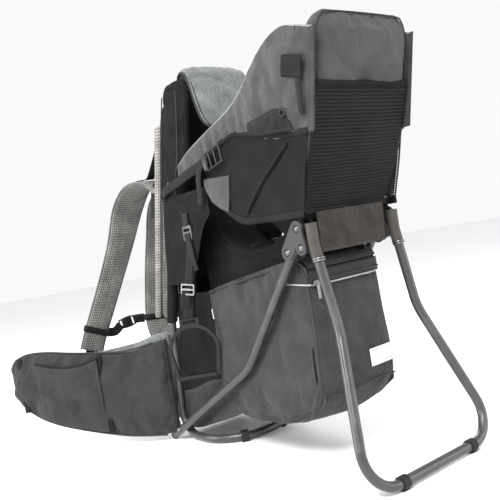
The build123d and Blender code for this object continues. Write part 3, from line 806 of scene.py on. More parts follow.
class CARRIER_OT_hip_belt(bpy.types.Operator):
    """Sew the two padded wings of the hip belt, with their pockets and bindings"""

    bl_idname = "carrier.hip_belt"
    bl_label = "Hip belt"

    def execute(self, context):
        for name, side in SIDES:
            rows = []
            for k, (low, high) in enumerate(zip(BELT_LOW, BELT_HIGH)):
                row = []
                for share in (0.0, 0.2, 0.5, 0.8, 1.0):
                    reach = low[0] + (high[0] - low[0]) * share
                    z = low[1] + (high[1] - low[1]) * share
                    curl = -6 * math.sin(math.pi * min(1.0, k / 8)) if 0 < share < 1 else -8
                    row.append(belt_point(side, reach, z, curl + 5))
                rows.append(row if side > 0 else row[::-1])
            wing = quilt(f"hip_wing_cloth_{name}", rows, (64, 40), 0.010, rim=0.016, crown=0.004,
                         ease=0.0022, seed=side * 3.0, grain=15)
            swell(wing, 2.4, 0.035, 0.007)
            refine(wing)
            finish_piece(wing, FINISHES["belt"], MAIN, [f"hip_wing_{name}"])
            sag = [belt_point(side, reach, z, 19.5 + 3 * math.sin(math.pi * (reach - 190) / 185))
                   for reach, z in ((194, 238), (220, 231), (250, 226), (283, 225), (320, 230), (350, 238), (373, 246))]
            low = [belt_point(side, reach, z, 13)
                   for reach, z in ((194, 42), (222, 46), (252, 54), (283, 61), (316, 70), (345, 80), (373, 95))]
            middle = [a.lerp(b, 0.5) + (belt_point(side, 100, 0, 7) - belt_point(side, 100, 0, 0))
                      for a, b in zip(sag, low)]
            rows = [[b, m, a] for a, m, b in zip(sag, middle, low)]
            rows = rows if side > 0 else [row[::-1] for row in rows]
            pocket = quilt(f"belt_pocket_{name}", rows, (44, 36), 0.0016, rim=0.004, ease=0.0026, seed=5 + side,
                           grain=20)
            refine(pocket)
            finish_piece(pocket, FINISHES["belt"])
            cloth_sheet(pocket)
            lip = tube(f"belt_pocket_lip_{name}", sag, 0.0026)
            finish_piece(lip, FINISHES["binding"])
            strips = []
            for reach, width in ((190, 13), (418, 16)):
                edge = [belt_point(side, reach + (z - 150) * 0.02, z, 16.5 if 60 < z < 240 else 12)
                        for z in ((44, 70, 110, 150, 200, 232, 247) if reach < 300 else
                                  (119, 130, 150, 175, 205, 235, 262))]
                along = belt_point(side, 1000, 0) - belt_point(side, 0, 0)
                strips.append(ribbon(f"belt_tape_{reach}", edge, along, width / 1000, (30, 5), 0.0012))
            finish_piece(join(f"belt_tapes_{name}", strips), FINISHES["binding"])
            rim = [belt_point(side, r, z, 0) for r, z in (*BELT_LOW[1:], *reversed(BELT_HIGH[1:]))]
            out = belt_point(side, 0, 0, 4) - belt_point(side, 0, 0, 0)
            beads = [tube("rim_out", [p + out for p in rim], 0.0024)]
            finish_piece(join(f"belt_piping_{name}", beads), FINISHES["dark_piping"])
            pad_rows = []
            for reach, low_z, high_z in ((4, 90, 277), (40, 86, 275), (90, 84, 262), (150, 90, 255), (215, 100, 250)):
                row = [belt_point(side, reach, low_z + (high_z - low_z) * s, -21) for s in (0, 0.5, 1)]
                pad_rows.append(row[::-1] if side > 0 else row)
            inner = quilt(f"belt_lining_{name}", pad_rows, (34, 26), 0.005, rim=0.012, crown=0.002, channels=2)
            refine(inner)
            finish_piece(inner, FINISHES["heather"])
        return {"FINISHED"}


def slab_rows(low, high, half_width, levels=7, columns=7, bow_out=0.0, corner=0.0):
    """A grid for a pad on the middle plane, between two (Y, Z) points; corner rounds its outline."""
    rows = []
    length = math.hypot(high[0] - low[0], high[1] - low[1])
    for i in range(levels):
        t = i / (levels - 1)
        t = 0.5 - 0.5 * math.cos(math.pi * t)
        reach = min(t, 1 - t) * length
        width = half_width
        if corner and reach < corner:
            width = half_width - corner + math.sqrt(corner**2 - (corner - reach) ** 2)
        row = []
        for j in range(columns):
            s = -1 + 2 * j / (columns - 1)
            y = low[0] + (high[0] - low[0]) * t + bow_out * (1 - s * s)
            row.append(at(s * width, y, low[1] + (high[1] - low[1]) * t))
        rows.append(row)
    return rows


class CARRIER_OT_back_padding(bpy.types.Operator):
    """Sew the mesh back panel, the lumbar pad and the shoulder yoke"""

    bl_idname = "carrier.back_padding"
    bl_label = "Back padding"

    def execute(self, context):
        panel = quilt("back_panel_mesh", slab_rows((260, 303), (92, 789), 101, 11, 7, 3, 26), (72, 32), 0.009,
                      rim=0.013, crown=0.003, channels=3)
        swell(panel, 2.0, 0.015, 0.003)
        refine(panel)
        finish_piece(panel, FINISHES["pale_mesh"], MAIN, ["back_panel"])
        for name, side in SIDES:
            edge = [at(side * 102, 260 - (z - 303) * 168 / 486 + 8, z) for z in (312, 400, 500, 600, 700, 778)]
            rows = [[p + Vector((side * dx / 1000, dy / 1000, 0)) for dx, dy in ((-3, 10), (7, 6), (9, -4), (3, -13))]
                    for p in edge]
            rows = rows if side > 0 else [row[::-1] for row in rows]
            roll = quilt(f"back_panel_roll_{name}", rows, (60, 12), 0.003, rim=0.004)
            finish_piece(roll, FINISHES["pale_mesh"])
            yoke_rows = [
                [at(side * 96, 150, 678), at(side * 97, 176, 660), at(side * 97, 200, 640)],
                [at(side * 97, 168, 628), at(side * 98, 190, 616), at(side * 98, 212, 604)],
                [at(side * 98, 190, 560), at(side * 99, 208, 566), at(side * 99, 226, 572)],
            ]
            yoke_rows = yoke_rows if side > 0 else [row[::-1] for row in yoke_rows]
            yoke = quilt(f"shoulder_yoke_{name}", yoke_rows, (22, 14), 0.004, rim=0.006)
            finish_piece(yoke, FINISHES["soot"])
        lumbar = quilt("lumbar_cloth", slab_rows((256, 37), (229, 276), 114, 9, 9, 8, 34), (44, 44), 0.010,
                       rim=0.018, crown=0.006, channels=4)
        swell(lumbar, 2.5, 0.02, 0.005)
        refine(lumbar)
        finish_piece(lumbar, FINISHES["heather"], MAIN, ["lumbar_pad"])
        return {"FINISHED"}


STRAP_ROUTES = {
    "left": ((-72, 170, 628), (-78, 225, 660), (-88, 300, 662), (-98, 365, 612),
             (-108, 415, 520), (-138, 462, 410), (-188, 486, 292), (-212, 486, 240)),
    "right": ((72, 170, 628), (62, 228, 662), (50, 305, 664), (38, 375, 612),
              (28, 425, 520), (14, 455, 420), (-4, 466, 295), (-6, 452, 240)),
}


def strap_frame(route, k):
    """A strap's point, its run and its way across at one of its route's points."""
    points = [at(*p) for p in route]
    run = (points[min(k + 1, len(points) - 1)] - points[max(k - 1, 0)]).normalized()
    across = (Vector((1, 0, 0)) - run * run.x).normalized()
    return points[k], run, across


class CARRIER_OT_shoulder_straps(bpy.types.Operator):
    """Sew the padded shoulder straps with their bindings, loops and bands"""

    bl_idname = "carrier.shoulder_straps"
    bl_label = "Shoulder straps"

    def execute(self, context):
        for name, side in SIDES:
            route = STRAP_ROUTES[name]
            rows, edges = [], ([], [])
            for k in range(len(route)):
                point, run, across = strap_frame(route, k)
                half_width = (78 - 2 * k) / 2000
                face = run.cross(across)
                broad = (0, 0.004, 0.016, 0.02, 0.008, 0.002, 0, 0)[k]
                inner = [half_width + (broad if side * s < 0 else 0) for s in (-1, 1)]
                rows.append([point + across * (s * inner[0 if s < 0 else 1]) + face * 0.002 * (1 - s * s)
                             for s in (-1, -0.5, 0, 0.5, 1)])
                edges[0].append(rows[-1][0])
                edges[1].append(rows[-1][-1])
            strap = quilt(f"shoulder_strap_pad_{name}", rows, (110, 18), 0.0056, rim=0.008, crown=0.0012, channels=2)
            refine(strap)
            finish_piece(strap, FINISHES["spacer"], MAIN, [f"shoulder_strap_{name}"])
            beads = [tube(f"bead_{k}", through(edge, 26), 0.0024) for k, edge in enumerate(edges)]
            finish_piece(join(f"strap_binding_{name}", beads), FINISHES["spacer"])
            spine, loops = [], []
            for k in range(1, 7):
                point, run, across = strap_frame(route, k)
                face = run.cross(across)
                face = face if face.y * 1.0 + face.z * 0.4 > 0 else -face
                spine.append(point + face * 0.0095)
                if k in (3, 5):
                    loops.append(ring_loop(point + face * 0.0125, run, across))
            web = ribbon(f"strap_webbing_{name}", spine, (1, 0, 0), 0.025, (60, 6))
            finish_piece(web, FINISHES["webbing"])
            finish_piece(join(f"strap_loops_{name}", loops), FINISHES["buckle"])
            point, run, across = strap_frame(route, 6)
            face = run.cross(across)
            band = []
            for turn in range(25):
                angle = 2 * math.pi * turn / 24
                flat = math.copysign(abs(math.cos(angle)) ** 0.35, math.cos(angle)) * 0.0368
                deep = math.copysign(abs(math.sin(angle)) ** 0.5, math.sin(angle)) * 0.0098
                band.append(point - run * 0.002 + across * flat + face * deep)
            rows = [[p - run * 0.0085, p, p + run * 0.0085] for p in band]
            piece = quilt(f"strap_band_{name}", rows, (60, 5), 0.0011, rim=0.001)
            finish_piece(piece, FINISHES["webbing"])
        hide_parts("strap_bands")
        return {"FINISHED"}


def ring_loop(centre, run, across):
    """A moulded loop that webbing runs through."""
    pieces = []
    for offset, size in (
        (run * 0.008, (0.034, 0.004, 0.004)), (run * -0.008, (0.034, 0.004, 0.004)),
        (across * 0.0155, (0.004, 0.02, 0.004)), (across * -0.0155, (0.004, 0.02, 0.004)),
        (run * 0.0, (0.03, 0.0035, 0.003)),
    ):
        pieces.append(block("loop_bar", centre + offset, size, bevel=0.0012, axes=(across, run, across.cross(run))))
    return join("loop", pieces)


# ======================= Front column and drool pad =======================
COLUMN = ((590, 124, 42), (606, 123, 28), (640, 108, 14), (680, 94, -6), (720, 82, -20), (760, 66, -30),
          (800, 52, -42), (830, 38, -44), (852, 18, -36))


class CARRIER_OT_front_column(bpy.types.Operator):
    """Sew the black column covers round the uprights and the panel between them"""

    bl_idname = "carrier.front_column"
    bl_label = "Front column"

    def execute(self, context):
        panel = quilt("front_lining", slab_rows((upright_y(333), 333), (upright_y(843), 843), 95, 9, 7, -3, 48),
                      (64, 26), 0.0026, rim=0.006, ease=0.0022, seed=2, grain=14)
        refine(panel)
        finish_piece(panel, FINISHES["black"], MAIN, ["front_panel"])
        for name, side in SIDES:
            rows = []
            for z, front, rear in COLUMN:
                row = [at(side * (113 + bulge), front + (rear - front) * s, z + 4 * s)
                       for s, bulge in ((0, -8), (0.25, 2), (0.5, 4), (0.75, 2), (1, -9))]
                rows.append(row if side < 0 else row[::-1])
            cover = quilt(f"column_cover_{name}", rows, (70, 26), 0.011, rim=0.013, ease=0.003, seed=7 * side,
                          grain=18)
            swell(cover, 1.2, 0.03, 0.004)
            refine(cover)
            finish_piece(cover, FINISHES["black"])
            lines = []
            for share in (0.12, 0.84):
                line = [at(side * (113 + (15 if 0.1 < share < 0.9 else 10)), front + (rear - front) * share, z)
                        for z, front, rear in COLUMN[1:-1]]
                lines.append(tube("seam", line, 0.0014))
            finish_piece(join(f"column_seams_{name}", lines), FINISHES["dark_piping"])
            rows = [[at(side * 104, y + (far - y) * s, z) for s in (0, 0.5, 1)]
                    for z, y, far in ((610, 104, 160), (660, 92, 140), (710, 80, 122), (760, 62, 104), (800, 46, 86),
                                      (818, 36, 70))]
            rows = rows if side > 0 else [row[::-1] for row in rows]
            gusset = quilt(f"column_gusset_{name}", rows, (44, 12), 0.0012, rim=0.003, ease=0.0015, seed=9, grain=18)
            finish_piece(gusset, FINISHES["black"])
            cloth_sheet(gusset)
            sock = [[at(side * (110 + 12 * math.cos(a)), upright_y(z) + 12.4 * math.sin(a), z)
                     for a in (k * math.pi / 6 for k in range(13))] for z in (300, 380, 460, 540, 602)]
            sock = sock if side < 0 else [row[::-1] for row in sock]
            sleeve = quilt(f"upright_sleeve_{name}", sock, (60, 25), 0.0011, rim=0.001, ease=0.0012, seed=side,
                           grain=30)
            finish_piece(sleeve, FINISHES["black"])
            cloth_sheet(sleeve)
        return {"FINISHED"}


def drool_path():
    """The pad's middle line from its front hem over the bow to its lower edge, as (Y, Z)."""
    y, z = BOW
    return ((y + 20, z - 34), (y + 18.5, z - 8), (y + 15.5, z + 8), (y + 6, z + 16.5), (y - 6, z + 16.5),
            (y - 16, z + 7), (y - 22, z - 12), (-33, 822), (-42, 784), (-51, 752), (-55, 739), (-57, 733))


class CARRIER_OT_drool_pad(bpy.types.Operator):
    """Sew the brushed drool pad over the top bow, with its double piping"""

    bl_idname = "carrier.drool_pad"
    bl_label = "Drool pad"

    def execute(self, context):
        rows, left, right = [], [], []
        widths = (80, 84, 86, 86, 86, 86, 86, 86, 85, 80, 66, 52)
        for (y, z), half_width in zip(drool_path(), widths):
            row = []
            for s in (-1, -0.66, -0.33, 0, 0.33, 0.66, 1):
                x = s * half_width
                drop = max(0.0, abs(x) - 50)
                drop = (60 - math.sqrt(3600 - drop**2)) * 0.55 if z > 840 else 0.0
                row.append(at(x, y, z - drop))
            rows.append(row[::-1])
            left.append(row[0] + Vector((-0.001, 0, 0)))
            right.append(row[-1] + Vector((0.001, 0, 0)))
        pad = quilt("drool_pad_cloth", rows, (66, 48), 0.0062, rim=0.012, crown=0.0022, ease=0.0008, seed=11, grain=14)
        swell(pad, 2.2, 0.012, 0.0035)
        refine(pad)
        finish_piece(pad, FINISHES["heather"], MAIN, ["drool_pad"])
        outline = [*left, *[p.copy() for p in reversed(right)]]
        rims = [tube("rim", outline, 0.0026)]
        inset = [p.lerp(Vector((0, p.y, p.z)), 0.07) + Vector((0, -0.0048, 0)) for p in left[6:]]
        inset += [p.lerp(Vector((0, p.y, p.z)), 0.07) + Vector((0, -0.0048, 0)) for p in reversed(right[6:])]
        rims.append(tube("inset", inset, 0.0017))
        finish_piece(join("drool_pad_piping", rims), FINISHES["dark_piping"])
        return {"FINISHED"}


# ======================= Headrest and rear =======================
class CARRIER_OT_headrest(bpy.types.Operator):
    """Sew the padded headrest, its side flaps, the rear net and the panel below"""

    bl_idname = "carrier.headrest"
    bl_label = "Headrest"

    def execute(self, context):
        rows = []
        for z in (700, 712, 730, 755, 785, 806, 822, 834, 842, 847):
            top = max(0.0, z - 801)
            width = 127 if not top else 79 + math.sqrt(max(0.0, 48**2 - top**2))
            rows.append([at(s * width, rod_y(z) + 4 - 3.5 * (1 - s * s), z)
                         for s in (-1, -0.7, -0.35, 0, 0.35, 0.7, 1)])
        pad = quilt("headrest_cloth", rows, (52, 56), 0.0125, rim=0.02, crown=0.003, ease=0.0022, seed=21, grain=13)
        swell(pad, 2.6, 0.03, 0.006)
        refine(pad)
        finish_piece(pad, FINISHES["slate"], MAIN, ["headrest_pad"])
        seam = []
        for z in (722, 755, 785, 806, 822, 834, 841):
            top = max(0.0, z - 798)
            seam.append((121 if not top else 70 + math.sqrt(max(0.0, 51**2 - top**2)), z))
        line = [at(-x, rod_y(z) - 10, z + 1) for x, z in seam]
        line += [at(x, rod_y(z) - 10, z + 1) for x, z in reversed(seam)]
        finish_piece(tube("headrest_piping", line, 0.0015), FINISHES["dark_piping"])
        back_rows = [[at(s * 112, rod_y(z) + 2, z) for s in (-1, -0.5, 0, 0.5, 1)] for z in (508, 570, 640, 690, 704)]
        backing = quilt("rear_net_lining", back_rows, (30, 30), 0.0012, rim=0.002, ease=0.003, seed=33, grain=12)
        finish_piece(backing, FINISHES["soot"])
        cloth_sheet(backing)
        hem = [at(s * 123, rod_y(721) - 17 - 1.5 * (1 - s * s), 721) for s in (-1, -0.5, 0, 0.5, 1)]
        finish_piece(ribbon("headrest_hem", hem, (0, 0, 1), 0.011, (40, 5), 0.0014), FINISHES["black"])
        net_rows = []
        for z in (506, 540, 580, 620, 660, 700, 722):
            out = 8 + 8.5 * max(0.0, (z - 640) / 82)
            net_rows.append([at(s * (125 if z > 620 else 117 + (z - 506) * 0.07), rod_y(z) - out - 5 * (1 - s * s) *
                                math.sin(math.pi * (z - 500) / 222), z) for s in (-1, -0.6, -0.2, 0.2, 0.6, 1)])
        net = quilt("rear_net", net_rows, (48, 48), 0.0006, rim=0.001, ease=0.0042, seed=31, grain=12)
        refine(net)
        finish_piece(net, FINISHES["net"], MAIN, ["rear_mesh"])
        cloth_sheet(net)
        hem = [at(s * 117, rod_y(506) - 8.5 - 2 * (1 - s * s), 506 + 2 * math.sin(5 * s)) for s in
               (-1, -0.6, -0.2, 0.2, 0.6, 1)]
        finish_piece(ribbon("rear_net_hem", hem, (0, 0, 1), 0.014, (40, 5), 0.0013), FINISHES["binding"])
        for name, side in SIDES:
            fin_rows = []
            for z in (641, 690, 740, 785, 814):
                y = rod_y(z)
                fin_rows.append([at(side * 127, y - 1, z), at(side * 129, y - 12, z), at(side * 130, y - 22, z)])
            fin_rows = fin_rows if side < 0 else [row[::-1] for row in fin_rows]
            fin = quilt(f"headrest_fin_{name}", fin_rows, (44, 12), 0.0022, rim=0.003, ease=0.0006, seed=side)
            finish_piece(fin, FINISHES["charcoal"])
        panel = quilt("rear_panel_cloth", slab_rows((-371, 426), (-379, 504), 93, 5, 5, -2), (20, 44), 0.003,
                      rim=0.005, ease=0.0026, seed=41, grain=16)
        swell(panel, 1.0, 0.03, 0.003)
        refine(panel)
        finish_piece(panel, FINISHES["brown"], MAIN, ["rear_panel"])
        return {"FINISHED"}


# ======================= Side wings and nets =======================
WING = (((-434, 645), (-486, 812)), ((-392, 650), (-446, 828)), ((-355, 656), (-402, 841)), ((-318, 664), (-350, 828)),
        ((-280, 674), (-302, 800)), ((-245, 683), (-264, 769)), ((-209, 690), (-226, 747)), ((-165, 680), (-176, 730)),
        ((-120, 664), (-120, 716)), ((-84, 650), (-72, 702)), ((-30, 641), (-26, 688)), ((30, 631), (30, 660)),
        ((88, 621), (88, 630)))
NET = (((-386, 504), (-431, 642)), ((-342, 504), (-384, 647)), ((-300, 506), (-325, 659)), ((-250, 509), (-264, 673)),
       ((-205, 512), (-209, 687)), ((-165, 531), (-162, 673)), ((-125, 566), (-119, 659)), ((-90, 600), (-85, 647)))


def side_rows(side, stations, x_of):
    """A grid for a side panel from pairs of lower and upper (Y, Z) points."""
    rows = []
    for k, (low, high) in enumerate(stations):
        row = []
        for s in (0.0, 0.25, 0.5, 0.75, 1.0):
            y = low[0] + (high[0] - low[0]) * s
            z = low[1] + (high[1] - low[1]) * s
            row.append(at(side * x_of(k / (len(stations) - 1), s), y, z))
        rows.append(row if side < 0 else row[::-1])
    return rows


def wing_x(t, s):
    """How far out a wing stands, along and up it."""
    belly = 9 * math.sin(math.pi * min(1, t * 1.3)) * math.sin(math.pi * s)
    return 129 - 4 * t + belly - 3 * s


class CARRIER_OT_side_wings(bpy.types.Operator):
    """Sew the side wings with piping, hook patch, gathered opening and loop"""

    bl_idname = "carrier.side_wings"
    bl_label = "Side wings"

    def execute(self, context):
        for name, side in SIDES:
            rows = side_rows(side, WING, wing_x)
            wing = quilt(f"side_wing_cloth_{name}", rows, (110, 34), 0.0022, rim=0.004, ease=sizes().crease,
                         seed=50 + side, grain=13)
            swell(wing, 1.6, 0.03, 0.007)
            refine(wing)
            finish_piece(wing, FINISHES["slate"], MAIN, [f"side_wing_{name}"])
            top = [at(side * wing_x(k / 12, 1), *high) for k, (low, high) in enumerate(WING)]
            finish_piece(tube(f"wing_piping_{name}", top, sizes().piping), FINISHES["piping"])
            bottom = [at(side * (wing_x(k / 12, 0) + 1.5), *low) for k, (low, high) in enumerate(WING)]
            finish_piece(ribbon(f"wing_hem_{name}", bottom, (0, 0, 1), 0.013, (90, 5), 0.0012),
                         FINISHES["binding"])
            out = 139
            spots = (((0, -460, 771), (1, -434, 780), (0, -408, 788)),
                     ((2, -455, 753), (3, -430, 761), (2, -403, 769)),
                     ((1, -451, 735), (2, -424, 743), (1, -398, 751)))
            patch = [[at(side * (out + proud), y, z) for proud, y, z in row] for row in spots]
            patch = patch if side < 0 else [row[::-1] for row in patch]
            piece = quilt(f"hook_patch_{name}", patch, (14, 16), 0.0013, rim=0.002)
            finish_piece(piece, FINISHES["hook"])
            cloth_sheet(piece)
            x = 137
            rows = [[at(side * (x - 1), -404, 652), at(side * (x + 3), -399, 672), at(side * (x + 1), -385, 692)],
                    [at(side * x, -366, 657), at(side * (x + 7), -366, 682), at(side * (x + 4), -365, 702)],
                    [at(side * x, -320, 663), at(side * (x + 7), -322, 680), at(side * (x + 4), -322, 698)],
                    [at(side * x, -275, 672), at(side * (x + 3), -277, 684), at(side * (x + 1), -279, 697)]]
            rows = rows if side < 0 else [row[::-1] for row in rows]
            flap = quilt(f"wing_gather_{name}", rows, (56, 26), 0.0018, rim=0.004, ease=0.0052, seed=120, grain=34)
            finish_piece(flap, FINISHES["soot"])
            cloth_sheet(flap)
            bpy.ops.object.select_all(action="DESELECT")
            bpy.ops.mesh.primitive_torus_add(major_radius=0.0068, minor_radius=0.0019, major_segments=32,
                                             minor_segments=10, location=at(side * (x + 7), -390, 688),
                                             rotation=(0, math.pi / 2, 0))
            eyelet = context.object
            settle(eyelet)
            eyelet.data.shade_smooth()
            eyelet.name = f"wing_eyelet_{name}"
            finish_piece(eyelet, FINISHES["buckle"])
            gusset = [[at(side * 126, -183, 611), at(side * 127, -134, 615), at(side * 126, -84, 619)],
                      [at(side * 126, -176, 586), at(side * 129, -132, 592), at(side * 127, -88, 602)],
                      [at(side * 126, -168, 558), at(side * 128, -134, 566), at(side * 126, -98, 580)],
                      [at(side * 126, -160, 536), at(side * 127, -134, 548), at(side * 126, -106, 566)]]
            gusset = gusset if side > 0 else [row[::-1] for row in gusset]
            gusset = [[p + Vector((side * 0.005, 0, 0)) for p in row] for row in gusset]
            piece = quilt(f"wing_gusset_{name}", gusset, (30, 30), 0.0014, rim=0.003, ease=0.0034, seed=130, grain=17)
            finish_piece(piece, FINISHES["slate"])
            cloth_sheet(piece)
            loop = [at(side * (x + 1), -440, 738), at(side * (x + 5), -441, 728), at(side * (x + 5), -440, 704),
                    at(side * (x + 4), -437, 684), at(side * x, -436, 674)]
            finish_piece(ribbon(f"wing_loop_{name}", loop, (0, 1, 0), 0.013, (24, 5)), FINISHES["webbing"])
            seam = [at(side * (wing_x(0.12, s) + 3.5), -398 - 44 * s, 650 + 178 * s) for s in (0, 0.25, 0.5, 0.75, 1)]
            finish_piece(ribbon(f"wing_seam_{name}", seam, (0, 1, 0.2), 0.006, (40, 4), 0.0009),
                         FINISHES["slate"])
        return {"FINISHED"}


def net_x(t, s):
    """How far out a side net stands."""
    return 128 + 3 * math.sin(3 * math.pi * t + 2 * s) * math.sin(math.pi * s) - 2 * t


class CARRIER_OT_side_nets(bpy.types.Operator):
    """Sew the side nets and the cloth panels in front of and below them"""

    bl_idname = "carrier.side_nets"
    bl_label = "Side nets and panels"

    def execute(self, context):
        for name, side in SIDES:
            net = quilt(f"side_net_{name}", side_rows(side, NET, net_x), (64, 34), 0.0006, rim=0.001, ease=0.004,
                        seed=60 + side, grain=13)
            refine(net)
            finish_piece(net, FINISHES["net"], MAIN, [f"side_mesh_{name}"])
            cloth_sheet(net)
            lining = [((low[0] + 4, low[1] + 6), (high[0] + 4, high[1] - 4)) for low, high in NET]
            back = quilt(f"net_lining_{name}", side_rows(side, lining, lambda t, s: net_x(t, s) - 8), (60, 24),
                         0.0009, rim=0.002, ease=0.004, seed=66 + side, grain=16)
            finish_piece(back, FINISHES["soot"])
            cloth_sheet(back)
            low = [at(side * (net_x(k / 7, 0) + 1), *pair[0]) for k, pair in enumerate(NET)]
            crease = [at(side * 131, -372, 636), at(side * 132, -322, 606), at(side * 131, -262, 566),
                      at(side * 130, -214, 524)]
            tapes = [ribbon("net_hem", low, (0, 0.2, 1), 0.015, (60, 5), 0.0013),
                     ribbon("net_dart", crease, (0, 1, 0.3), 0.008, (30, 4), 0.001)]
            finish_piece(join(f"net_tapes_{name}", tapes), FINISHES["binding"])
            panel_pairs = (((158, 394), (110, 602)), ((100, 394), (60, 605)), ((38, 396), (10, 605)),
                           ((4, 443), (-30, 605)), ((-38, 510), (-62, 606)), ((-80, 545), (-84, 605)))
            panel = quilt(f"side_panel_cloth_{name}",
                          [row[::-1] for row in side_rows(side, panel_pairs, lambda t, s: 123.5 + 2 * math.sin(3 * s))],
                          (46, 38), 0.0012, rim=0.003, ease=0.0036, seed=70 + side, grain=16)
            refine(panel)
            finish_piece(panel, FINISHES["black"], MAIN, [f"side_panel_{name}"])
            cloth_sheet(panel)
            skirt_pairs = (((214, 24), (170, 372)), ((160, 31), (140, 371)), ((110, 44), (100, 371)),
                           ((60, 58), (60, 371)), ((10, 74), (20, 371)))
            skirt = quilt(f"side_skirt_cloth_{name}",
                          [row[::-1] for row in side_rows(side, skirt_pairs, lambda t, s: 98.6)],
                          (30, 50), 0.0009, rim=0.002, ease=0.0006, seed=75 + side, grain=15)
            refine(skirt)
            finish_piece(skirt, FINISHES["black"], MAIN, [f"side_skirt_{name}"])
            cloth_sheet(skirt)
            apron_pairs = (((222, 24), (216, 118)), ((160, 30), (150, 132)), ((110, 43), (100, 148)),
                           ((60, 57), (50, 160)), ((4, 73), (4, 168)), ((-30, 84), (-20, 172)))
            apron = quilt(f"side_apron_{name}", [row[::-1] for row in side_rows(side, apron_pairs, lambda t, s: 100.2)],
                          (30, 26), 0.0007, rim=0.002, ease=0.0008, seed=77 + side, grain=15)
            finish_piece(apron, FINISHES["belt"])
            cloth_sheet(apron)
            infill_pairs = (((60, 372), (74, 600)), ((20, 372), (20, 600)), ((-60, 386), (-60, 470)),
                            ((-160, 400), (-170, 452)), ((-262, 414), (-270, 482)), ((-338, 414), (-350, 514)))
            infill = quilt(f"seat_side_{name}", [row[::-1] for row in side_rows(side, infill_pairs, lambda t, s: 64)],
                           (60, 30), 0.0009, rim=0.002, ease=0.006, seed=78 + side, grain=17)
            finish_piece(infill, FINISHES["black"])
            cloth_sheet(infill)
            corner_pairs = (((-372, 470), (-378, 512)), ((-346, 452), (-340, 512)), ((-318, 446), (-300, 516)),
                            ((-290, 462), (-262, 518)))
            corner = quilt(f"net_corner_{name}", side_rows(side, corner_pairs, lambda t, s: 94 + 26 * s),
                           (24, 24), 0.0009, rim=0.002, ease=0.004, seed=79 + side, grain=24)
            finish_piece(corner, FINISHES["black"])
            cloth_sheet(corner)
            patch = [[at(side * x, -367, z) for x in (82, 102, 122)] for z in (490, 503, 518)]
            patch = patch if side > 0 else [row[::-1] for row in patch]
            patch = quilt(f"rear_corner_{name}", patch, (12, 14), 0.0009, rim=0.002)
            finish_piece(patch, FINISHES["black"])
            cloth_sheet(patch)
        return {"FINISHED"}


# ======================= Seat and harness =======================
class CARRIER_OT_seat(bpy.types.Operator):
    """Sew the seat sling and lay the child's harness on it"""

    bl_idname = "carrier.seat"
    bl_label = "Seat and harness"

    def execute(self, context):
        line = ((-338, 481), (-300, 462), (-262, 449), (-170, 444), (-70, 446), (-20, 470), (10, 500), (34, 550),
                (52, 598))
        rows = [[at(x, y, z + 6 * (x / 62) ** 2) for x in (-62, -31, 0, 31, 62)] for y, z in line]
        seat = quilt("seat_cloth", [row[::-1] for row in rows], (60, 22), 0.005, rim=0.009, crown=0.001, channels=2,
                     ease=0.0012, seed=80)
        refine(seat)
        finish_piece(seat, FINISHES["soot"], MAIN, ["seat_sling"])
        straps = []
        for _, side in SIDES:
            path = [at(side * x, y, z) for x, y, z in ((42, -404, 632), (41, -372, 600), (36, -318, 556),
                                                       (31, -262, 506), (27, -214, 472), (24, -186, 460))]
            straps.append(ribbon("harness", path, (1, 0, 0), 0.022, (50, 5)))
            wing = [at(side * 60, -120, 458), at(side * 46, -140, 463), at(side * 26, -160, 461)]
            straps.append(ribbon("waist", wing, (0, 1, 0), 0.022, (24, 5)))
        finish_piece(join("harness_webbing", straps), FINISHES["webbing"], MAIN, ["child_harness"])
        body = block("harness_clip", at(0, -162, 460), (0.05, 0.038, 0.011), bevel=0.0045)
        extras = [block("harness_bar", at(side * 21, -162, 466), (0.006, 0.026, 0.004), bevel=0.001)
                  for side in (-1, 1)]
        extras.append(block("harness_button", at(0, -162, 467), (0.02, 0.016, 0.004), bevel=0.0015))
        clip = join("harness_clip", [body, *extras])
        finish_piece(clip, FINISHES["buckle"], MAIN, ["harness_buckle"])
        return {"FINISHED"}


# ======================= Storage bag =======================
BAG_SIDE = ((27, 369), (-60, 384), (-160, 400), (-262, 415), (-312, 414), (-328, 396), (-331, 340), (-331, 270),
            (-331, 200), (-328, 152), (-312, 126), (-286, 108), (-240, 94), (-196, 82), (-120, 80), (-50, 84), (-6, 90))


def bag_at(x, y, z):
    """A point of the bag, which bellies out sideways where it is full."""
    return at(x * (1 + 0.065 * math.exp(-(((z - 190) / 75) ** 2))), y, z)


def bag_station(x):
    """The bag's outline across at one X, as a closed ring of points."""
    share = abs(x) / 98
    ring = []
    middle_y, middle_z = -150, 245
    for y, z in BAG_SIDE:
        pull = 1 - 0.035 * share**6
        belly = 5 * (1 - share**2)
        sag = -7 * (1 - share**2) if z < 130 else 0
        outward = -belly if y < -300 and 150 < z < 390 else 0
        ring.append(bag_at(x, middle_y + (y - middle_y) * pull + outward, middle_z + (z - middle_z) * pull + sag))
    return ring


def pressed(reach, limit, give):
    """A reach pressed back smoothly, so that it never passes its limit."""
    over = reach - (limit - give)
    return reach if over <= 0 else limit - give * math.exp(-over / give)


LEG_ROOM, LEG_ROOM_ABOVE, LEG_GIVE = 0.1008, 0.285, 0.006  # half the width between the legs, from this height up
ZIP_DEPTH, ZIP_HEIGHT, ZIP_GIVE = 0.3637, 0.372, 0.004  # how far back the bag's face may reach under the slider


def clear_of_legs(obj):
    """Hold the bag's sides in, so that the kickstand's legs fold past them."""
    for vertex in obj.data.vertices:
        room = LEG_ROOM + 0.1 * max(0.0, LEG_ROOM_ABOVE - vertex.co.z)
        vertex.co.x = math.copysign(pressed(abs(vertex.co.x), room, LEG_GIVE), vertex.co.x)
    return obj


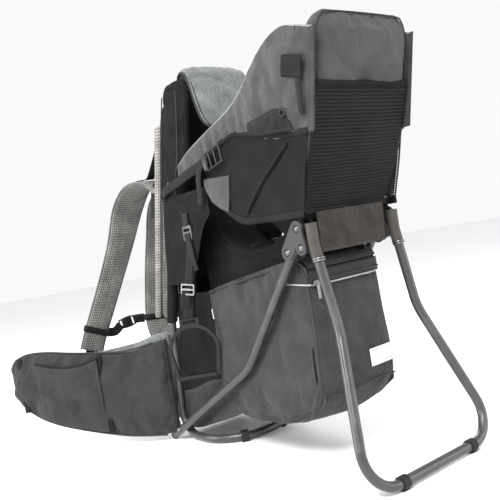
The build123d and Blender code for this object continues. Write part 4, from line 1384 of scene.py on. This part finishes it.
def behind_zip(obj):
    """Hold the bag's face in along its zip, so that the slider runs past it."""
    for vertex in obj.data.vertices:
        limit = ZIP_DEPTH + 0.02 * ((vertex.co.z - ZIP_HEIGHT) / 0.03) ** 2
        vertex.co.y = -pressed(-vertex.co.y, limit, ZIP_GIVE)
    return obj


class CARRIER_OT_storage_bag(bpy.types.Operator):
    """Sew the storage bag with its zip, cover flap, reflective piping and blank label"""

    bl_idname = "carrier.storage_bag"
    bl_label = "Storage bag"

    def execute(self, context):
        stations = (-96.5, -92, -70, -36, 0, 36, 70, 92, 96.5)
        wrap = [bag_station(x) for x in stations]
        skin = quilt("bag_wrap", wrap, (44, 96), 0.0018, rim=0.003, ease=0.0052, seed=90, grain=12)
        swell(skin, 1.0, 0.02, 0.005)
        behind_zip(clear_of_legs(refine(skin)))
        finish_piece(skin, FINISHES["charcoal"], MAIN, ["storage_bag"])
        top = [(27, 367), (-36, 379), (-98, 389), (-160, 398), (-215, 406), (-262, 412), (-304, 412), (-329, 396)]
        low = [(-5, 92), (-34, 88), (-70, 84), (-120, 83), (-170, 84), (-215, 91), (-270, 103), (-327, 140)]
        for name, side in SIDES:
            rows = []
            for (yt, zt), (yb, zb) in zip(top, low):
                rows.append([bag_at(side * (94.5 + 1.5 * math.sin(math.pi * s)), yb + (yt - yb) * s, zb + (zt - zb) * s)
                             for s in (-0.02, 0.25, 0.5, 0.75, 1.015)])
            rows = rows if side < 0 else [row[::-1] for row in rows]
            cheek = quilt(f"bag_side_{name}", rows, (58, 50), 0.0016, rim=0.003, ease=0.0066, seed=93 + side, grain=13)
            swell(cheek, 1.0, 0.03, 0.005)
            clear_of_legs(refine(cheek))
            finish_piece(cheek, FINISHES["charcoal"])
            edge = bag_station(side * 97)
            piping = clear_of_legs(tube(f"bag_piping_{name}", edge, 0.0026))
            finish_piece(piping, FINISHES["dark_piping"])
            pocket_rows = []
            for yt, zt, yb, zb in ((20, 300, 20, 94), (-60, 292, -50, 88), (-140, 290, -120, 86), (-210, 298, -190, 90),
                                   (-270, 318, -262, 108), (-316, 346, -312, 136)):
                pocket_rows.append([bag_at(side * (96.6 + 2.0 * math.sin(math.pi * s)), yb + (yt - yb) * s,
                                       zb + (zt - zb) * s) for s in (0, 0.3, 0.6, 1)])
            pocket_rows = pocket_rows if side < 0 else [row[::-1] for row in pocket_rows]
            pocket = quilt(f"bag_pocket_{name}", pocket_rows, (52, 40), 0.0011, rim=0.003, ease=0.0052,
                           seed=97 + side, grain=15)
            clear_of_legs(refine(pocket))
            finish_piece(pocket, FINISHES["charcoal"])
            cloth_sheet(pocket)
        front = quilt("bag_front", slab_rows((-4, 93), (25, 367), 94, 7, 5), (30, 24), 0.0014, rim=0.003, ease=0.002,
                      seed=104, grain=14)
        refine(front)
        finish_piece(front, FINISHES["soot"])
        cloth_sheet(front)
        flap_rows = []
        for y, z in ((-296, 419), (-312, 417), (-324, 412), (-333, 405), (-337, 397)):
            flap_rows.append([at(x, y + 4 * (abs(x) / 96) ** 4, z + 0.02 * abs(x))
                              for x in (-96, -60, -20, 20, 60, 96)])
        flap = quilt("zip_cover", flap_rows, (18, 60), 0.0012, rim=0.002, ease=0.0016, seed=101, grain=18)
        refine(flap)
        finish_piece(flap, FINISHES["charcoal"], MAIN, ["zip_band"])
        cloth_sheet(flap)
        bead = [at(-99, -250, 374), at(-100, -300, 370), at(-97, -332, 367), at(-70, -339, 366), at(-30, -340, 366),
                at(30, -340, 366), at(70, -339, 366), at(97, -332, 367), at(100, -300, 370), at(99, -250, 374)]
        finish_piece(tube("zip_piping", bead, 0.0021), FINISHES["reflective"])
        chain = [at(-96, -334, 376), at(-60, -338, 376), at(-20, -339, 376), at(20, -339, 376), at(60, -338, 376),
                 at(96, -334, 376)]
        tape = [p + Vector((0, 0.0006, -0.0005)) for p in chain]
        parts = [ribbon("zip_tape", [p + Vector((0, 0, 0.006)) for p in tape], (0, 0, 1), 0.028, (60, 6), 0.0009),
                 tube("zip_teeth", chain, 0.0022)]
        finish_piece(join("zip_chain", parts), FINISHES["zip"])
        label_rows = [[at(x, -343.6 + 3.6 * (x / 97) ** 2, z) for x in (21, 38, 56, 74, 91)]
                      for z in (179, 188, 197, 206, 215)]
        label = quilt("blank_label", label_rows, (22, 28), 0.0007, rim=0.001)
        finish_piece(label, FINISHES["label"], MAIN, ["bag_label"])
        cloth_sheet(label)
        seam = [at(x, -333.5 - 4.5 * (1 - (x / 97) ** 2), 150 + 3 * math.sin(x / 30))
                for x in (-95, -60, -20, 20, 60, 95)]
        finish_piece(tube("bag_front_seam", seam, 0.0016), FINISHES["dark_piping"])
        tab = block("zip_tab_grip", at(-84, -342, 352), (0.0064, 0.0026, 0.026), bevel=0.001)
        cord = tube("zip_tab_cord", [at(-84, -339.6, 369), at(-86.4, -340.6, 366), at(-86, -341.6, 361),
                                     at(-84, -342, 358), at(-82, -341.6, 361), at(-81.6, -340.6, 366),
                                     at(-84, -339.8, 369)], 0.0009)
        finish_piece(join("zip_tab_pull", [tab, cord]), FINISHES["piping"], "zip_tab", ["zip_pull"])
        return {"FINISHED"}


# ======================= Webbing and buckles =======================
def release_buckle(name, centre, along, up, face):
    """A side-release buckle with its arms, waist and webbing bars."""
    parts = [block("shell", centre, (0.03, 0.03, 0.0095), bevel=0.003, axes=(along, up, face))]
    for way in (-1, 1):
        parts.append(block("arm", centre + up * way * 0.0135 + along * 0.004, (0.022, 0.005, 0.0075), bevel=0.002,
                           axes=(along, up, face)))
        parts.append(block("bar", centre + along * way * 0.022, (0.004, 0.028, 0.006), bevel=0.0015,
                           axes=(along, up, face)))
        for rise in (0.012, -0.012):
            parts.append(block("link", centre + along * way * 0.017 + up * rise, (0.011, 0.004, 0.006), bevel=0.0012,
                               axes=(along, up, face)))
    parts.append(block("ridge", centre + face * 0.0048, (0.016, 0.016, 0.0016), bevel=0.0006, axes=(along, up, face)))
    return join(name, parts)


def ladder_lock(name, centre, along, up, face, size=(0.05, 0.032)):
    """A ladder-lock buckle: a frame with two cross bars and a lifting tongue."""
    length, width = size
    parts = []
    for way in (-1, 1):
        parts.append(block("rail", centre + up * way * (width / 2 - 0.0022), (length, 0.0044, 0.0058), bevel=0.0018,
                           axes=(along, up, face)))
    for share, thick in ((-0.46, 0.0045), (-0.12, 0.0045), (0.2, 0.0045), (0.46, 0.006)):
        parts.append(block("rung", centre + along * share * length, (thick, width, 0.0052), bevel=0.0016,
                           axes=(along, up, face)))
    tilt = (along + face * 0.35).normalized()
    parts.append(block("tongue", centre + along * length * 0.5 + face * 0.0015, (0.012, width * 0.8, 0.003),
                       bevel=0.0012, axes=(tilt, up, tilt.cross(up))))
    return join(name, parts)


class CARRIER_OT_webbing(bpy.types.Operator):
    """Lay the load lifters, tails, sternum and compression straps with their buckles"""

    bl_idname = "carrier.webbing"
    bl_label = "Webbing and buckles"

    def execute(self, context):
        lifters, tails = [], []
        for name, side in SIDES:
            x, y, z = STRAP_ROUTES[name][1]
            path = [at(x, y + 14, z + 12), at(x, y - 2, z + 18),
                    at((x + side * 84) / 2, (y + 131) / 2 - 4, (z + 752) / 2 + 12),
                    at(side * 84, 131, 756), at(side * 84, 104, 772)]
            lifters.append(ribbon("lifter", path, (1, 0, 0), 0.025, (44, 6)))
            hang = [at(side * 84, 128, 754), at(side * 85, 136, 730), at(side * 86, 142, 700), at(side * 86, 146, 676)]
            lifters.append(ribbon("lifter_tail", hang, (1, 0, 0), 0.02, (30, 5)))
            x, y, z = STRAP_ROUTES[name][-1]
            path = [at(x, y, z + 14), at(x, y, z - 10), at((x * 2 + side * 92) / 3, (y * 2 + 284) / 3 + 8, z - 52),
                    at((x + side * 184) / 3, (y + 568) / 3 + 8, 146), at(side * 92, 286, 102)]
            tails.append(ribbon("tail", path, (1, 0, 0), 0.025, (50, 6)))
        finish_piece(join("load_lifter_webbing", lifters), FINISHES["webbing"], MAIN, ["load_lifters"])
        finish_piece(join("strap_tail_webbing", tails), FINISHES["webbing"], MAIN, ["strap_tails"])
        buckle = at(-88, 491, 297)
        right, left = at(-36, 479, 299), at(-151, 500, 281)
        along = (right - left).normalized()
        up = (Vector((0, 0, 1)) - along * along.z).normalized()
        face = along.cross(up)
        sag_left, sag_right = Vector((0, 0.002, -0.009)), Vector((0, 0, 0.003))
        to_left = [buckle - along * 0.02, buckle.lerp(left, 0.6) + sag_left, left]
        to_right = [buckle + along * 0.02, buckle.lerp(right, 0.6) + sag_right, right]
        straps = [ribbon("sternum_left", to_left, up, 0.025, (30, 5), 0.0014),
                  ribbon("sternum_right", to_right, up, 0.025, (40, 5), 0.0014)]
        finish_piece(join("sternum_webbing", straps), FINISHES["webbing"], MAIN, ["sternum_strap"])
        clip = release_buckle("sternum_clip", buckle, along, up, face)
        finish_piece(clip, FINISHES["buckle"], MAIN, ["sternum_buckle"])
        pieces, locks = [], []
        for name, side in SIDES:
            x = side * 136.5
            path = [at(x - side * 6, 98, 611), at(x, 70, 619), at(x, 20, 628), at(x, -40, 640), at(x, -104, 651),
                    at(x + side * 2.5, -124, 655)]
            pieces.append(ribbon("side_strap", path, (0, 0.18, 1), 0.022, (50, 5)))
            tail = [at(x + side * 3, -112, 652), at(x + side * 7, -96, 640), at(x + side * 6, -84, 618),
                    at(x + side * 3, -76, 592), at(x + side * 3, -70, 566)]
            pieces.append(ribbon("side_tail", tail, (0, 1, 0.3), 0.02, (34, 5)))
            run = Vector((0, -0.98, 0.19)).normalized()
            outward = Vector((side, 0, 0))
            rise = outward.cross(run) * (1 if side > 0 else -1)
            locks.append(ladder_lock("lock", at(x + side * 2.5, -148, 655), -run, rise, outward, (0.062, 0.04)))
        finish_piece(join("side_webbing", pieces), FINISHES["webbing"], MAIN, ["compression_straps"])
        finish_piece(join("side_locks", locks), FINISHES["buckle"], MAIN, ["ladder_buckles"])
        return {"FINISHED"}


class CARRIER_OT_stirrups(bpy.types.Operator):
    """Thread the foot straps through their buckles and hang the stirrups"""

    bl_idname = "carrier.stirrups"
    bl_label = "Foot straps"

    def execute(self, context):
        turn = math.radians(41)
        for name, side in SIDES:
            top, bar = at(side * 128.5, 18, 490), at(side * 152, 38, 312)
            across = Vector((-side * math.cos(turn), -math.sin(turn), 0))
            run = (bar - top).normalized()
            outward = Vector((side, 0.2, 0))
            front = [top + run * 0.002, top.lerp(bar, 0.3), top.lerp(bar, 0.65) + outward * 0.002,
                     bar - run * 0.004 + outward * 0.002, bar + Vector((0, 0, 0.0045))]
            start = Vector((0, 1, 0)) if across.y > 0 else Vector((0, -1, 0))
            strip = ribbon("strap_front", front, start, 0.026, (60, 6), twist=across)
            behind = [top.lerp(bar, 0.5) - outward * 0.004, top.lerp(bar, 0.8) - outward * 0.005,
                      bar - run * 0.006 - outward * 0.0045]
            back = ribbon("strap_back", behind, start.lerp(across, 0.5), 0.026, (40, 6), twist=across)
            end = [top.lerp(bar, 0.6) + outward * 0.006, top.lerp(bar, 0.72) + outward * 0.009,
                   top.lerp(bar, 0.83) + outward * 0.008]
            tip = ribbon("strap_tip", end, start.lerp(across, 0.6), 0.025, (24, 6), twist=across)
            web = join(f"foot_strap_{name}", [strip, back, tip])
            finish_piece(web, FINISHES["webbing"], f"{name}_foot_strap", [f"stirrup_strap_{name}"])
            hang = [at(side * 127, 20, 560), at(side * 128.5, 20, 540), at(side * 128.5, 19, 522)]
            tails = [ribbon("upper", hang, (0, 1, 0), 0.026, (20, 6)),
                     ribbon("lower", [at(side * 131, 17, 512), at(side * 132, 14, 480), at(side * 133, 8, 446),
                                      at(side * 131, 4, 424)], (0, 1, 0), 0.024, (26, 5))]
            finish_piece(join(f"foot_strap_top_{name}", tails), FINISHES["webbing"])
        return {"FINISHED"}


# ======================= Stage =======================
RIGHT = Vector((0.78423, -0.59643, -0.17103))
UP = Vector((0.14685, -0.08940, 0.98511))
FORWARD = Vector((0.60284, 0.79767, -0.01748))


class CARRIER_OT_stage(bpy.types.Operator):
    """Set the pale floor, soft studio lights and the camera"""

    bl_idname = "carrier.stage"
    bl_label = "Stage"

    def execute(self, context):
        scene = context.scene
        bpy.ops.object.select_all(action="DESELECT")
        bpy.ops.mesh.primitive_circle_add(vertices=96, radius=14, fill_type="NGON", location=(0, 0, -0.0004))
        floor = context.object
        floor.name = "studio_floor"
        material = bpy.data.materials.new("Pale floor")
        material.use_nodes = True
        shader = material.node_tree.nodes["Principled BSDF"]
        shader.inputs["Base Color"].default_value = (0.9, 0.9, 0.9, 1)
        shader.inputs["Roughness"].default_value = 0.9
        floor.data.materials.append(material)
        world = bpy.data.worlds.new("Studio")
        scene.world = world
        world.use_nodes = True
        world.node_tree.nodes["Background"].inputs["Color"].default_value = (1, 1, 1, 1)
        world.node_tree.nodes["Background"].inputs["Strength"].default_value = ROOM_LIGHT
        for label, place, size, power in LIGHTS:
            bpy.ops.object.light_add(type="AREA", location=place)
            light = context.object
            light.name = f"{label}_light"
            light.data.size = size
            light.data.energy = power
            light.rotation_euler = (Vector((0, 0, 0.45)) - Vector(place)).to_track_quat("-Z", "Y").to_euler()
        bpy.ops.object.camera_add()
        camera = context.object
        camera.name = "studio_camera"
        camera.data.lens = LENS_MM
        camera.data.sensor_width = SENSOR_MM
        camera.data.clip_end = 60
        camera.matrix_world = (
            Matrix.Translation(at(-949.9, -1292.5, 476.2))
            @ Matrix((RIGHT, UP, -FORWARD)).transposed().to_4x4()
        )
        scene.camera = camera
        scene.view_settings.view_transform = "Standard"
        scene.view_settings.exposure = 0.0
        return {"FINISHED"}


# ======================= Add-on =======================
MAKERS = (
    CARRIER_OT_stage, CARRIER_OT_frame, CARRIER_OT_hip_belt, CARRIER_OT_back_padding, CARRIER_OT_shoulder_straps,
    CARRIER_OT_front_column, CARRIER_OT_drool_pad, CARRIER_OT_headrest, CARRIER_OT_side_wings, CARRIER_OT_side_nets,
    CARRIER_OT_seat, CARRIER_OT_storage_bag, CARRIER_OT_webbing, CARRIER_OT_stirrups,
)


class CARRIER_PT_panel(bpy.types.Panel):
    """The carrier's sizes, colours and makers"""

    bl_idname = "CARRIER_PT_panel"
    bl_label = "Baby carrier backpack"
    bl_space_type = "VIEW_3D"
    bl_region_type = "UI"
    bl_category = "Carrier"

    def draw(self, context):
        layout = self.layout
        for group_name in ("carrier_sizes", "carrier_colours"):
            box = layout.box()
            settings = getattr(context.scene, group_name)
            for key in settings.__annotations__:
                box.prop(settings, key)
        for maker in MAKERS:
            layout.operator(maker.bl_idname)


CLASSES = (CarrierColours, CarrierSizes, *MAKERS, CARRIER_PT_panel)


def register():
    """Register the settings, makers and panel."""
    for item in CLASSES:
        bpy.utils.register_class(item)
    bpy.types.Scene.carrier_colours = bpy.props.PointerProperty(type=CarrierColours)
    bpy.types.Scene.carrier_sizes = bpy.props.PointerProperty(type=CarrierSizes)


def unregister():
    """Take the add-on's classes away again."""
    del bpy.types.Scene.carrier_sizes
    del bpy.types.Scene.carrier_colours
    for item in reversed(CLASSES):
        bpy.utils.unregister_class(item)


def main():
    """Build the whole scene."""
    register()
    build_groups()
    build_finishes()
    for maker in MAKERS:
        area, operator = maker.bl_idname.split(".")
        getattr(getattr(bpy.ops, area), operator)()


if __name__ == "__main__":
    main()
